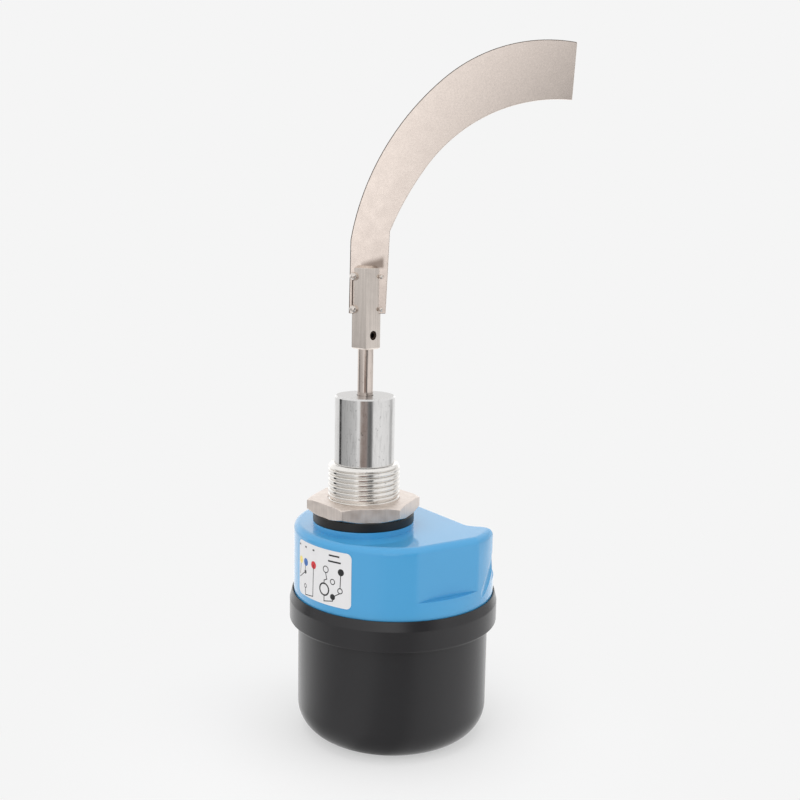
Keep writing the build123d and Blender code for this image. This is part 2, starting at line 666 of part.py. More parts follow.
# Paddle holder: a square bar, bored from below and slit from corner to corner for the blade
slit_w = BLADE_T + 2 * LOOSE_FIT
with BuildPart() as paddle_holder:
    with BuildSketch(HOLDER_PLANE.offset(HOLDER_BOTTOM)):
        Rectangle(HOLDER_SIDE, HOLDER_SIDE)
    extrude(amount=HOLDER_TOP - HOLDER_BOTTOM)
    chamfer(paddle_holder.edges().group_by(Axis.Z)[-1], HOLDER_CHAMFER)
    chamfer(paddle_holder.edges().group_by(Axis.Z)[0], HOLDER_CHAMFER / 2)
    with BuildSketch(BLADE_MIDDLE.offset(-slit_w / 2)):
        with Locations((0, (BLADE_BOTTOM + HOLDER_TOP) / 2)):
            Rectangle(2 * HOLDER_SIDE, HOLDER_TOP - BLADE_BOTTOM)
    extrude(amount=slit_w, mode=Mode.SUBTRACT)
    with BuildSketch(Plane.XY.offset(HOLDER_BOTTOM)):
        Circle(SHAFT_END_D / 2)
    extrude(amount=HOLDER_BORE_DEPTH, mode=Mode.SUBTRACT)
    with BuildSketch(HOLDER_FRONT):
        with Locations((0, SET_SCREW_Z)):
            Circle(SET_SCREW_D / 2)
    extrude(amount=HOLDER_SIDE, mode=Mode.SUBTRACT)
paddle_holder.part.label = "paddle_holder"
export_step(paddle_holder.part, "parts/paddle_holder.step")


# Set screw that bears on the shaft's flat, with a hexagon socket
with BuildPart() as holder_set_screw:
    with BuildSketch(HOLDER_FRONT.offset(SHAFT_END_D / 2 - SHAFT_FLAT)):
        with Locations((0, SET_SCREW_Z)):
            Circle(SET_SCREW_D / 2)
    extrude(amount=HOLDER_SIDE / 2 - SET_SCREW_SUNK - SHAFT_END_D / 2 + SHAFT_FLAT)
    with BuildSketch(HOLDER_FRONT.offset(HOLDER_SIDE / 2 - SET_SCREW_SUNK)):
        with Locations((0, SET_SCREW_Z)):
            RegularPolygon(SET_SCREW_SOCKET / sqrt(3), 6)
    extrude(amount=-SET_SCREW_SOCKET_DEPTH, mode=Mode.SUBTRACT)
holder_set_screw.part.label = "holder_set_screw"
export_step(holder_set_screw.part, "parts/holder_set_screw.step")


# Blade: a flat sheet cut to a sickle, each edge of two tangent arcs, its tab in the holder's slit
with BuildPart() as paddle_blade:
    with BuildSketch(BLADE_MIDDLE.offset(-BLADE_T / 2)):
        with BuildLine():
            Polyline(INNER_START, (TAB_RIGHT, BLADE_BOTTOM), (TAB_LEFT, BLADE_BOTTOM), OUTER_START)
            outer_low = RadiusArc(OUTER_START, OUTER_JOINT, OUTER_LOW_R)
            TangentArc(OUTER_JOINT, TIP_TOP, tangent=outer_low % 1)
            Line(TIP_TOP, TIP_BOTTOM)
            inner_low = RadiusArc(INNER_START, INNER_JOINT, INNER_LOW_R)
            TangentArc(INNER_JOINT, TIP_BOTTOM, tangent=inner_low % 1)
        make_face()
    extrude(amount=BLADE_T)
paddle_blade.part.label = "paddle_blade"
export_step(paddle_blade.part, "parts/paddle_blade.step")


# Weld beads in the corners between the blade's front and the holder's two front faces
bead_reach = HOLDER_SIDE / sqrt(2) - BLADE_T / 2 + BEAD_OUT
blade_front = BLADE_MIDDLE.offset(BLADE_T / 2)
with BuildPart() as weld_beads:
    for above in BEAD_ABOVE:
        for side in (-1, 1):
            with Locations(blade_front.location * Pos(side * bead_reach, BLADE_BOTTOM + above, 0)):
                Sphere(BEAD_R)
    split(bisect_by=blade_front, keep=Keep.TOP)
    add(paddle_holder.part, mode=Mode.SUBTRACT)
weld_beads.part.label = "weld_beads"
export_step(weld_beads.part, "parts/weld_beads.step")


# Rubber ring between the housing's rim and the cover's shoulder
with BuildPart() as rim_gasket:
    with BuildSketch(Plane.XY.offset(SHOULDER_Z)):
        with Locations((CAN_OFFSET, 0)):
            Circle(CAN_R - 0.2)
            Circle(CAN_R - 0.2 - RIM_GASKET_W, mode=Mode.SUBTRACT)
    extrude(amount=RIM_GASKET_T)
rim_gasket.part.label = "rim_gasket"
export_step(rim_gasket.part, "parts/rim_gasket.step")


# Cover
with BuildPart() as cover:
    with BuildSketch(Plane.XZ) as cover_section:
        with BuildLine():
            cup_arc_y = COVER_BOTTOM + COVER_ROUND
            inner_round = COVER_ROUND - COVER_WALL
            cup_in = COVER_R - COVER_WALL
            Line((0, COVER_BOTTOM), (COVER_R - COVER_ROUND, COVER_BOTTOM))
            RadiusArc((COVER_R - COVER_ROUND, COVER_BOTTOM), (COVER_R, cup_arc_y), -COVER_ROUND)
            Polyline(
                (COVER_R, cup_arc_y),
                (COVER_R, COLLAR_BOTTOM),
                (COLLAR_R, COLLAR_BOTTOM),
                (COLLAR_R, COLLAR_SHOULDER),
                (COVER_BORE_R + LIP_T, LIP_TOP),
                (COVER_BORE_R, LIP_TOP),
                (COVER_BORE_R, SHOULDER_Z),
                (cup_in, SHOULDER_Z),
                (cup_in, cup_arc_y),
            )
            RadiusArc((cup_in, cup_arc_y), (cup_in - inner_round, COVER_BOTTOM + COVER_WALL), inner_round)
            Line((cup_in - inner_round, COVER_BOTTOM + COVER_WALL), (0, COVER_BOTTOM + COVER_WALL))
            Line((0, COVER_BOTTOM + COVER_WALL), (0, COVER_BOTTOM))
        make_face()
        collar_corners = cover_section.vertices().filter_by_position(Axis.X, COLLAR_R - 0.1, COLLAR_R + 0.1)
        fillet(collar_corners, 1.0)
    revolve(axis=Axis.Z)
cover_part = cover.part.moved(Location((CAN_OFFSET, 0, 0)))
cover_part.label = "cover"
export_step(cover_part, "parts/cover.step")


# Label
with BuildPart() as wiring_label:
    with BuildSketch(Plane.XZ):
        with Locations((CAN_R + LABEL_T / 2, (LABEL_TOP + LABEL_BOTTOM) / 2)):
            Rectangle(LABEL_T, LABEL_TOP - LABEL_BOTTOM)
    revolve(axis=Axis.Z, revolution_arc=LABEL_SWEEP)
    corner_edges = wiring_label.edges().filter_by(lambda edge: abs(edge.length - LABEL_T) < 0.01)
    fillet(corner_edges, LABEL_CORNER)
label_part = wiring_label.part.moved(Location((CAN_OFFSET, 0, 0), (0, 0, 1), LABEL_FROM))
label_part.label = "wiring_label"
export_step(label_part, "parts/wiring_label.step")


# Base plate, held on the posts
block_screw_points = [
    (TERMINAL_X + side * TERMINAL_PITCH * (TERMINALS - 2) / 2, TERMINAL_Y) for side in (-1, 1)
]
with BuildPart() as base_plate:
    with BuildSketch(Plane.XY.offset(BASE_BOTTOM)):
        with Locations((CAN_OFFSET, 0)):
            Circle(BASE_R)
        Circle(HUB_D / 2 + BUSH_WALL, mode=Mode.SUBTRACT)
        with Locations(*post_points()):
            Circle(POST_SCREW_D / 2 + SCREW_PLAY, mode=Mode.SUBTRACT)
        with Locations(*BRACKET_SCREWS):
            Circle(MOTOR_SCREW_D / 2 + LOOSE_FIT, mode=Mode.SUBTRACT)
        with Locations(STOP_PIN_AT):
            Circle(STOP_PIN_D / 2, mode=Mode.SUBTRACT)
        with Locations((SPRING_STUD_X, SPRING_Y)):
            Circle(STUD_D / 2, mode=Mode.SUBTRACT)
        with Locations(EARTH_AT):
            Circle(EARTH_SCREW_D / 2 + LOOSE_FIT, mode=Mode.SUBTRACT)
        with Locations(*block_screw_points):
            Circle(BLOCK_SCREW_D / 2 + SCREW_PLAY, mode=Mode.SUBTRACT)
        # Slot for the leads beside the terminal block
        with Locations(LEAD_SLOT_AT):
            SlotCenterToCenter(LEAD_SLOT_LENGTH, LEAD_SLOT_W, mode=Mode.SUBTRACT)
    extrude(amount=PLATE_T)
base_plate.part.label = "base_plate"
export_step(base_plate.part, "parts/base_plate.step")


# Screws that hold the base plate on the posts
post_screw = pan_screw(POST_SCREW_D, PLATE_T + POST_SCREW_DEPTH, POST_HEAD_D, POST_HEAD_H)
with BuildPart() as base_screws:
    with Locations(*post_points()):
        add(post_screw.moved(Location((0, 0, BASE_BOTTOM))))
base_screws.part.label = "base_screws"
export_step(base_screws.part, "parts/base_screws.step")


# Flanged bush in the base plate, in which the swing hub turns
with BuildPart() as swing_bush:
    with BuildSketch(Plane.XY.offset(BASE_BOTTOM)):
        Circle(HUB_D / 2 + BUSH_WALL)
    extrude(amount=PLATE_T + BUSH_ABOVE)
    with BuildSketch(Plane.XY.offset(SWING_TOP + TRAVEL_GAP)):
        Circle(BUSH_FLANGE_D / 2)
    extrude(amount=SWING_GAP - TRAVEL_GAP)
    with BuildSketch(Plane.XY.offset(SWING_TOP)):
        Circle(HUB_D / 2 + RUN_FIT)
    extrude(amount=SWING_GAP + PLATE_T + BUSH_ABOVE, mode=Mode.SUBTRACT)
swing_bush.part.label = "swing_bush"
export_step(swing_bush.part, "parts/swing_bush.step")


# Swing plate with the trip tab for the switches and the arm for the spring
stop_reach = sqrt(STOP_PIN_AT[0] ** 2 + STOP_PIN_AT[1] ** 2)
stop_bearing = degrees(atan2(STOP_PIN_AT[1], STOP_PIN_AT[0]))
tongue_end = SWITCH_X + 2 * SWITCH_PITCH
with BuildPart() as swing_plate:
    with BuildSketch(Plane.XY.offset(SWING_BOTTOM)):
        with Locations((CAN_OFFSET, 0)):
            Circle(SWING_R)
        Circle(HUB_LOBE_R)
        with Locations((SPRING_ARM_X, SPRING_Y / 2)):
            Rectangle(ARM_W, -SPRING_Y)
        with Locations((SPRING_ARM_X, SPRING_Y)):
            Circle(ARM_W / 2)
        with Locations(((CAN_OFFSET + tongue_end) / 2, TRIP_FACE_Y + TONGUE_W / 2)):
            Rectangle(tongue_end - CAN_OFFSET, TONGUE_W)
        Circle(HUB_D / 2, mode=Mode.SUBTRACT)
        with Locations((SPRING_ARM_X, SPRING_Y)):
            Circle(STUD_D / 2, mode=Mode.SUBTRACT)
        with Locations(*motor_screw_points()):
            Circle(MOTOR_SCREW_D / 2 + SCREW_PLAY, mode=Mode.SUBTRACT)
        SlotArc(
            CenterArc((0, 0), stop_reach, stop_bearing, SWING_MAX),
            STOP_PIN_D + 2 * TRAVEL_GAP,
            mode=Mode.SUBTRACT,
        )
    extrude(amount=PLATE_T)
    # Trip tab bent down from the tongue
    with BuildSketch(Plane.XY.offset(TRIP_BOTTOM)):
        with Locations((SWITCH_X + SWITCH_PITCH, TRIP_FACE_Y + TRIP_T / 2)):
            Rectangle(2 * SWITCH_PITCH, TRIP_T)
    extrude(amount=SWING_BOTTOM - TRIP_BOTTOM)
swing_plate.part.label = "swing_plate"
export_step(swing_plate.part, "parts/swing_plate.step")


# Hub pressed in the swing plate, and the clip that keeps it in the bush
hub_clip_bottom = BASE_TOP + BUSH_ABOVE + TRAVEL_GAP
hub_bore_r = MOTOR_BOSS_D / 2 + LOOSE_FIT
with BuildPart() as swing_hub:
    with BuildSketch(Plane.XZ):
        with BuildLine():
            Polyline(
                (hub_bore_r, SWING_BOTTOM),
                (HUB_D / 2, SWING_BOTTOM),
                (HUB_D / 2, hub_clip_bottom),
                (HUB_D / 2 - CLIP_GROOVE, hub_clip_bottom),
                (HUB_D / 2 - CLIP_GROOVE, hub_clip_bottom + HUB_CLIP_T),
                (HUB_D / 2, hub_clip_bottom + HUB_CLIP_T),
                (HUB_D / 2, HUB_TOP - 0.4),
                (HUB_D / 2 - 0.4, HUB_TOP),
                (hub_bore_r, HUB_TOP),
                close=True,
            )
        make_face()
    revolve(axis=Axis.Z)
swing_hub.part.label = "swing_hub"
export_step(swing_hub.part, "parts/swing_hub.step")

with BuildPart() as hub_clip:
    with BuildSketch(Plane.XY.offset(hub_clip_bottom)):
        Circle(HUB_D / 2 - CLIP_GROOVE + CLIP_RADIAL)
        Circle(HUB_D / 2 - CLIP_GROOVE, mode=Mode.SUBTRACT)
        with Locations((-HUB_D / 2, 0)):
            Rectangle(HUB_D * 0.6, HUB_D * 0.35, mode=Mode.SUBTRACT)
    extrude(amount=HUB_CLIP_T)
hub_clip.part.label = "hub_clip"
export_step(hub_clip.part, "parts/hub_clip.step")


# Stop pin that limits the swing
with BuildPart() as stop_pin:
    with BuildSketch(Plane.XY.offset(SWING_BOTTOM + TRAVEL_GAP)):
        with Locations(STOP_PIN_AT):
            Circle(STOP_PIN_D / 2)
    extrude(amount=BASE_TOP - SWING_BOTTOM - TRAVEL_GAP)
stop_pin.part.label = "stop_pin"
export_step(stop_pin.part, "parts/stop_pin.step")


# Grooved studs that hold the return spring, one in the base plate and one in the swing arm
def spring_stud(x, top):
    """A stud on the spring's line with a groove for its loop."""
    with BuildPart() as stud:
        with BuildSketch(Plane.XY.offset(top)):
            with Locations((x, SPRING_Y)):
                Circle(STUD_D / 2)
        extrude(amount=SPRING_Z - SPRING_WIRE - STUD_END - top)
        with BuildSketch(Plane.XY.offset(SPRING_Z - SPRING_WIRE)):
            with Locations((x, SPRING_Y)):
                Circle(STUD_D)
                Circle(STUD_D / 2 - SPRING_WIRE / 2, mode=Mode.SUBTRACT)
        extrude(amount=2 * SPRING_WIRE, mode=Mode.SUBTRACT)
    return stud.part


fixed_spring_stud = spring_stud(SPRING_STUD_X, BASE_TOP)
fixed_spring_stud.label = "fixed_spring_stud"
export_step(fixed_spring_stud, "parts/fixed_spring_stud.step")

swing_spring_stud = spring_stud(SPRING_ARM_X, SWING_TOP)
swing_spring_stud.label = "swing_spring_stud"
export_step(swing_spring_stud, "parts/swing_spring_stud.step")


# Return spring: a coil, and at each end a bent-in tail with a loop round its stud
coil_length = SPRING_TURNS * SPRING_PITCH
coil_start = (SPRING_ARM_X + SPRING_STUD_X - coil_length) / 2
loop_r = STUD_D / 2 + LOOSE_FIT
wire_r = SPRING_WIRE / 2
with BuildLine() as coil_path:
    Helix(
        SPRING_PITCH,
        coil_length,
        SPRING_R,
        center=(coil_start, SPRING_Y, SPRING_Z),
        direction=(1, 0, 0),
    )
with BuildPart() as return_spring:
    with BuildSketch(Plane(coil_path.line @ 0, z_dir=coil_path.line % 0)):
        RegularPolygon(wire_r, 6)
    sweep(path=coil_path.line, is_frenet=True)
    for end, stud_x, inwards in ((0, SPRING_ARM_X, 1), (1, SPRING_STUD_X, -1)):
        coil_end = coil_path.line @ end
        axis_point = Vector(coil_end.X, SPRING_Y, SPRING_Z)
        with BuildSketch(Plane(coil_end, z_dir=axis_point - coil_end)):
            Circle(wire_r)
        extrude(amount=SPRING_R + wire_r)
        with BuildSketch(Plane.YZ.offset(stud_x + inwards * loop_r)):
            with Locations((SPRING_Y, SPRING_Z)):
                Circle(wire_r)
        extrude(amount=coil_end.X - stud_x - inwards * loop_r)
        with BuildSketch(Plane.XZ.offset(-SPRING_Y)):
            with Locations((stud_x + loop_r, SPRING_Z)):
                Circle(wire_r)
        revolve(axis=Axis((stud_x, SPRING_Y, 0), (0, 0, 1)))
return_spring.part.label = "return_spring"
export_step(return_spring.part, "parts/return_spring.step")


# Geared motor: one sealed unit with its hollow spindle seat on the shaft's axis
with BuildPart() as gear_motor:
    with BuildSketch(Plane.XY.offset(GEARBOX_BOTTOM)):
        with Locations((CAN_OFFSET, 0)):
            Circle(GEARBOX_R)
    extrude(amount=GEARBOX_H)
    with BuildSketch(Plane.XY.offset(ROTOR_BOTTOM)):
        with Locations((CAN_OFFSET, 0)):
            Circle(ROTOR_R)
    extrude(amount=ROTOR_H)
    fillet(gear_motor.edges().group_by(Axis.Z)[0], ROTOR_ROUND)
    with BuildSketch(Plane.XY.offset(SWING_BOTTOM)):
        Circle(MOTOR_BOSS_D / 2)
    extrude(amount=MOTOR_BOSS_H)
    with BuildSketch(Plane.XY.offset(SWING_BOTTOM)):
        Circle(SPINDLE_D / 2 + RUN_FIT)
    extrude(amount=MOTOR_BOSS_H, mode=Mode.SUBTRACT)
    with BuildSketch(Plane.XY.offset(SWING_BOTTOM)):
        Circle(SPINDLE_D / 2 + RUN_FIT)
    extrude(amount=-SPINDLE_DEPTH, mode=Mode.SUBTRACT)
    with BuildSketch(Plane.XY.offset(SWING_BOTTOM)):
        with Locations(*motor_screw_points()):
            Circle(MOTOR_SCREW_D / 2 + LOOSE_FIT)
    extrude(amount=-MOTOR_SCREW_DEPTH - 1, mode=Mode.SUBTRACT)
gear_motor.part.label = "gear_motor"
export_step(gear_motor.part, "parts/gear_motor.step")


# Screws that hold the motor under the swing plate
motor_screw = pan_screw(MOTOR_SCREW_D, PLATE_T + MOTOR_SCREW_DEPTH, M3_HEAD_D, M3_HEAD_H)
with BuildPart() as motor_screws:
    for x, y in motor_screw_points():
        add(motor_screw.moved(Location((x, y, SWING_TOP), (180, 0, 0))))
motor_screws.part.label = "motor_screws"
export_step(motor_screws.part, "parts/motor_screws.step")


# Motor spindle, with the cross hole of the lower coupling pin
with BuildPart() as motor_spindle:
    with BuildSketch(Plane.XY.offset(SWING_BOTTOM - SPINDLE_DEPTH + TRAVEL_GAP)):
        Circle(SPINDLE_D / 2)
    extrude(amount=COUPLING_SPLIT - SWING_BOTTOM + SPINDLE_DEPTH - 1.5 * TRAVEL_GAP)
    with BuildSketch(Plane.XZ):
        with Locations((0, COUPLING_PIN_Z[1])):
            Circle(COUPLING_PIN_D / 2)
    extrude(amount=SPINDLE_D, both=True, mode=Mode.SUBTRACT)
motor_spindle.part.label = "motor_spindle"
export_step(motor_spindle.part, "parts/motor_spindle.step")


# Sleeve coupling and its two cross pins
with BuildPart() as coupling:
    with BuildSketch(Plane.XY.offset(COUPLING_BOTTOM)):
        Circle(COUPLING_D / 2)
    extrude(amount=COUPLING_TOP - COUPLING_BOTTOM)
    chamfer(coupling.edges().filter_by(GeomType.CIRCLE), 0.6)
    with BuildSketch(Plane.XY.offset(COUPLING_SPLIT)):
        Circle(SHAFT_D / 2 + LOOSE_FIT)
    extrude(amount=COUPLING_TOP - COUPLING_SPLIT, mode=Mode.SUBTRACT)
    with BuildSketch(Plane.XY.offset(COUPLING_BOTTOM)):
        Circle(SPINDLE_D / 2 + LOOSE_FIT)
    extrude(amount=COUPLING_SPLIT - COUPLING_BOTTOM, mode=Mode.SUBTRACT)
    with BuildSketch(Plane.XZ):
        with Locations(*((0, z) for z in COUPLING_PIN_Z)):
            Circle(COUPLING_PIN_D / 2)
    extrude(amount=COUPLING_D, both=True, mode=Mode.SUBTRACT)
coupling.part.label = "coupling"
export_step(coupling.part, "parts/coupling.step")

with BuildPart() as coupling_pins:
    with BuildSketch(Plane.XZ):
        with Locations(*((0, z) for z in COUPLING_PIN_Z)):
            Circle(COUPLING_PIN_D / 2)
    extrude(amount=COUPLING_D / 2 - 0.2, both=True)
coupling_pins.part.label = "coupling_pins"
export_step(coupling_pins.part, "parts/coupling_pins.step")


# Bracket that hangs from the base plate between the two switches
bracket_x = SWITCH_X + SWITCH_W
switch_bottom = SWITCH_TOP - SWITCH_H
switch_back_y = SWITCH_FACE_Y - SWITCH_D
with BuildPart() as switch_bracket:
    with BuildSketch(Plane.XY.offset(BASE_BOTTOM - BRACKET_FLANGE_T)):
        with Locations((bracket_x, (BRACKET_BACK_Y + SWITCH_FACE_Y) / 2)):
            Rectangle(2 * BRACKET_REACH, SWITCH_FACE_Y - BRACKET_BACK_Y)
        with Locations((CAN_OFFSET, 0)):
            Circle(BASE_R - 1, mode=Mode.INTERSECT)
        with Locations(*BRACKET_SCREWS):
            Circle(MOTOR_SCREW_D / 2 + SCREW_PLAY, mode=Mode.SUBTRACT)
    extrude(amount=BRACKET_FLANGE_T)
    with BuildSketch(Plane.YZ.offset(bracket_x)):
        with Locations(
            ((SWITCH_FACE_Y + switch_back_y) / 2, (BASE_BOTTOM - BRACKET_FLANGE_T + switch_bottom) / 2)
        ):
            Rectangle(SWITCH_D, BASE_BOTTOM - BRACKET_FLANGE_T - switch_bottom)
        with Locations(*((SWITCH_SCREW_Y, z) for z in SWITCH_SCREW_Z)):
            Circle(SWITCH_SCREW_D / 2 + LOOSE_FIT, mode=Mode.SUBTRACT)
    extrude(amount=BRACKET_T)
switch_bracket.part.label = "switch_bracket"
export_step(switch_bracket.part, "parts/switch_bracket.step")

bracket_screw = pan_screw(MOTOR_SCREW_D, BRACKET_FLANGE_T + PLATE_T, M3_HEAD_D, M3_HEAD_H)
with BuildPart() as bracket_screws:
    with Locations(*BRACKET_SCREWS):
        add(bracket_screw.moved(Location((0, 0, BASE_BOTTOM - BRACKET_FLANGE_T))))
bracket_screws.part.label = "bracket_screws"
export_step(bracket_screws.part, "parts/bracket_screws.step")


# Microswitches, alike but for their place: case, lever, plunger
plunger_z = LEVER_PIVOT_Z - PLUNGER_BELOW_PIVOT
lean = radians(LEVER_LEAN)
plunger_edge_y = LEVER_PIVOT_Y + (PLUNGER_BELOW_PIVOT - PLUNGER_D / 2) * tan(lean)
plunger_tip_y = plunger_edge_y - LEVER_T / 2 / cos(lean) - PLUNGER_PLAY


def switch_case(centre_x):
    """Moulded case with two lugs for the lever's pin, a plunger bore and two screw holes."""
    with BuildPart() as case:
        with BuildSketch(Plane.YZ.offset(centre_x)):
            with Locations(((SWITCH_FACE_Y + switch_back_y) / 2, SWITCH_TOP - SWITCH_H / 2)):
                Rectangle(SWITCH_D, SWITCH_H)
        extrude(amount=SWITCH_W / 2, both=True)
        with BuildSketch(Plane.YZ.offset(centre_x)):
            with Locations((LEVER_PIVOT_Y, LEVER_PIVOT_Z)):
                Rectangle(2 * LUG_OUT, 3 * LUG_OUT)
        extrude(amount=SWITCH_W / 2, both=True)
        # Pocket between the lugs, in which the lever's barrel turns
        with BuildSketch(Plane.YZ.offset(centre_x)):
            with Locations((LEVER_PIVOT_Y, LEVER_PIVOT_Z)):
                Rectangle(2 * LUG_OUT, 3 * LUG_OUT)
        extrude(amount=SWITCH_W / 2 - LUG_T, both=True, mode=Mode.SUBTRACT)
        with BuildSketch(Plane.YZ.offset(centre_x)):
            with Locations((LEVER_PIVOT_Y, LEVER_PIVOT_Z)):
                Circle(PIVOT_PIN_D / 2)
            with Locations(*((SWITCH_SCREW_Y, z) for z in SWITCH_SCREW_Z)):
                Circle(SWITCH_SCREW_D / 2 + LOOSE_FIT)
        extrude(amount=SWITCH_W, both=True, mode=Mode.SUBTRACT)
        with BuildSketch(Plane.XZ.offset(-SWITCH_FACE_Y)):
            with Locations((centre_x, plunger_z)):
                Circle(PLUNGER_D / 2 + RUN_FIT)
        extrude(amount=SWITCH_FACE_Y - plunger_tip_y + PLUNGER_LENGTH + PLUNGER_TRAVEL, mode=Mode.SUBTRACT)
    return case.part


def switch_lever(centre_x):
    """Spring lever with a barrel round its pin and a bead at its tip."""
    with BuildPart() as lever:
        with BuildSketch(Plane.YZ.offset(centre_x)):
            with Locations((LEVER_PIVOT_Y, LEVER_PIVOT_Z)):
                Circle(LEVER_BARREL_R)
            with Locations(((LEVER_PIVOT_Y + LEVER_TIP_Y) / 2, (LEVER_PIVOT_Z + LEVER_TIP_Z) / 2)):
                Rectangle(LEVER_T, LEVER_ARM, rotation=LEVER_LEAN)
            with Locations((LEVER_TIP_Y, LEVER_TIP_Z)):
                Circle(LEVER_TIP_R)
            with Locations((LEVER_PIVOT_Y, LEVER_PIVOT_Z)):
                Circle(PIVOT_PIN_D / 2 + RUN_FIT, mode=Mode.SUBTRACT)
        extrude(amount=LEVER_W / 2, both=True)
    return lever.part


def switch_plunger(centre_x):
    """Plunger that the lever presses into the case."""
    with BuildPart() as plunger:
        with BuildSketch(Plane.XZ.offset(-plunger_tip_y)):
            with Locations((centre_x, plunger_z)):
                Circle(PLUNGER_D / 2)
        extrude(amount=PLUNGER_LENGTH)
    return plunger.part


for number, centre_x in enumerate(SWITCH_CENTRES, start=1):
    for kind, piece in (
        ("case", switch_case(centre_x)),
        ("lever", switch_lever(centre_x)),
        ("plunger", switch_plunger(centre_x)),
    ):
        piece.label = f"switch_{kind}_{number}"
        export_step(piece, f"parts/{piece.label}.step")


# Pins on which the switch levers turn
with BuildPart() as switch_pivots:
    for centre_x in SWITCH_CENTRES:
        with BuildSketch(Plane.YZ.offset(centre_x)):
            with Locations((LEVER_PIVOT_Y, LEVER_PIVOT_Z)):
                Circle(PIVOT_PIN_D / 2)
        extrude(amount=SWITCH_W / 2, both=True)
switch_pivots.part.label = "switch_pivots"
export_step(switch_pivots.part, "parts/switch_pivots.step")


# Long screws through both switches and their nuts
switch_stack = 2 * SWITCH_W + BRACKET_T
switch_screw = pan_screw(SWITCH_SCREW_D, switch_stack + SWITCH_NUT_T, SWITCH_HEAD_D, SWITCH_HEAD_H)
with BuildPart() as switch_screws:
    for z in SWITCH_SCREW_Z:
        add(switch_screw.moved(Location((SWITCH_X, SWITCH_SCREW_Y, z), (0, 90, 0))))
switch_screws.part.label = "switch_screws"
export_step(switch_screws.part, "parts/switch_screws.step")

with BuildPart() as switch_nuts:
    with BuildSketch(Plane.YZ.offset(SWITCH_X + switch_stack)):
        with Locations(*((SWITCH_SCREW_Y, z) for z in SWITCH_SCREW_Z)):
            RegularPolygon(SWITCH_NUT_AF / sqrt(3), 6)
            Circle(SWITCH_SCREW_D / 2 + LOOSE_FIT, mode=Mode.SUBTRACT)
    extrude(amount=SWITCH_NUT_T)
switch_nuts.part.label = "switch_nuts"
export_step(switch_nuts.part, "parts/switch_nuts.step")


# Terminal block, with its clamp screws facing the open cover
pole_points = [
    (TERMINAL_X + (i - (TERMINALS - 1) / 2) * TERMINAL_PITCH, TERMINAL_Y) for i in range(TERMINALS)
]
block_bottom = BASE_BOTTOM - TERMINAL_H
with BuildPart() as terminal_block:
    with BuildSketch(Plane.XY.offset(block_bottom)):
        with Locations((TERMINAL_X, TERMINAL_Y)):
            Rectangle(TERMINALS * TERMINAL_PITCH + 2 * TERMINAL_CHEEK, TERMINAL_W)
    extrude(amount=TERMINAL_H)
    chamfer(terminal_block.edges().filter_by(Axis.X).group_by(Axis.Z)[0], TERMINAL_CHEEK)
    with BuildSketch(Plane.XY.offset(block_bottom)):
        with Locations(*pole_points):
            Circle(CLAMP_HEAD_D / 2 + SCREW_PLAY)
    extrude(amount=CLAMP_RECESS, mode=Mode.SUBTRACT)
    with BuildSketch(Plane.XY.offset(block_bottom)):
        with Locations(*pole_points):
            Circle(CLAMP_SCREW_D / 2 + LOOSE_FIT)
    extrude(amount=TERMINAL_H - WIRE_HOLE_BELOW, mode=Mode.SUBTRACT)
    with BuildSketch(Plane.XZ.offset(-TERMINAL_Y)):
        with Locations(*((x, BASE_BOTTOM - WIRE_HOLE_BELOW) for x, y in pole_points)):
            Circle(WIRE_HOLE_R)
    extrude(amount=TERMINAL_W, both=True, mode=Mode.SUBTRACT)
    with BuildSketch(Plane.XY.offset(BASE_BOTTOM)):
        with Locations(*block_screw_points):
            Circle(BLOCK_SCREW_D / 2 + LOOSE_FIT)
    extrude(amount=-BLOCK_SCREW_DEPTH - 1, mode=Mode.SUBTRACT)
terminal_block.part.label = "terminal_block"
export_step(terminal_block.part, "parts/terminal_block.step")

clamp_length = TERMINAL_H - CLAMP_RECESS - WIRE_HOLE_BELOW - WIRE_HOLE_R
clamp_screw = pan_screw(CLAMP_SCREW_D, clamp_length, CLAMP_HEAD_D, CLAMP_HEAD_H)
with BuildPart() as clamp_screws:
    with Locations(*pole_points):
        add(clamp_screw.moved(Location((0, 0, block_bottom + CLAMP_RECESS))))
clamp_screws.part.label = "clamp_screws"
export_step(clamp_screws.part, "parts/clamp_screws.step")

block_screw = pan_screw(BLOCK_SCREW_D, PLATE_T + BLOCK_SCREW_DEPTH, CLAMP_HEAD_D, CLAMP_HEAD_H)
with BuildPart() as block_screws:
    for x, y in block_screw_points:
        add(block_screw.moved(Location((x, y, BASE_TOP), (180, 0, 0))))
block_screws.part.label = "block_screws"
export_step(block_screws.part, "parts/block_screws.step")


# Earth screw and its washer under the base plate
earth_screw_part = pan_screw(EARTH_SCREW_D, WASHER_T + 2 * PLATE_T, POST_HEAD_D, POST_HEAD_H).moved(
    Location((*EARTH_AT, BASE_BOTTOM - WASHER_T))
)
earth_screw_part.label = "earth_screw"
export_step(earth_screw_part, "parts/earth_screw.step")

with BuildPart() as earth_washer:
    with BuildSketch(Plane.XY.offset(BASE_BOTTOM - WASHER_T)):
        with Locations(EARTH_AT):
            Circle(WASHER_D / 2)
            Circle(EARTH_SCREW_D / 2 + SCREW_PLAY, mode=Mode.SUBTRACT)
    extrude(amount=WASHER_T)
earth_washer.part.label = "earth_washer"
export_step(earth_washer.part, "parts/earth_washer.step")
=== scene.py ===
import json
import math
import bmesh
import bpy
from mathutils import Matrix, Vector

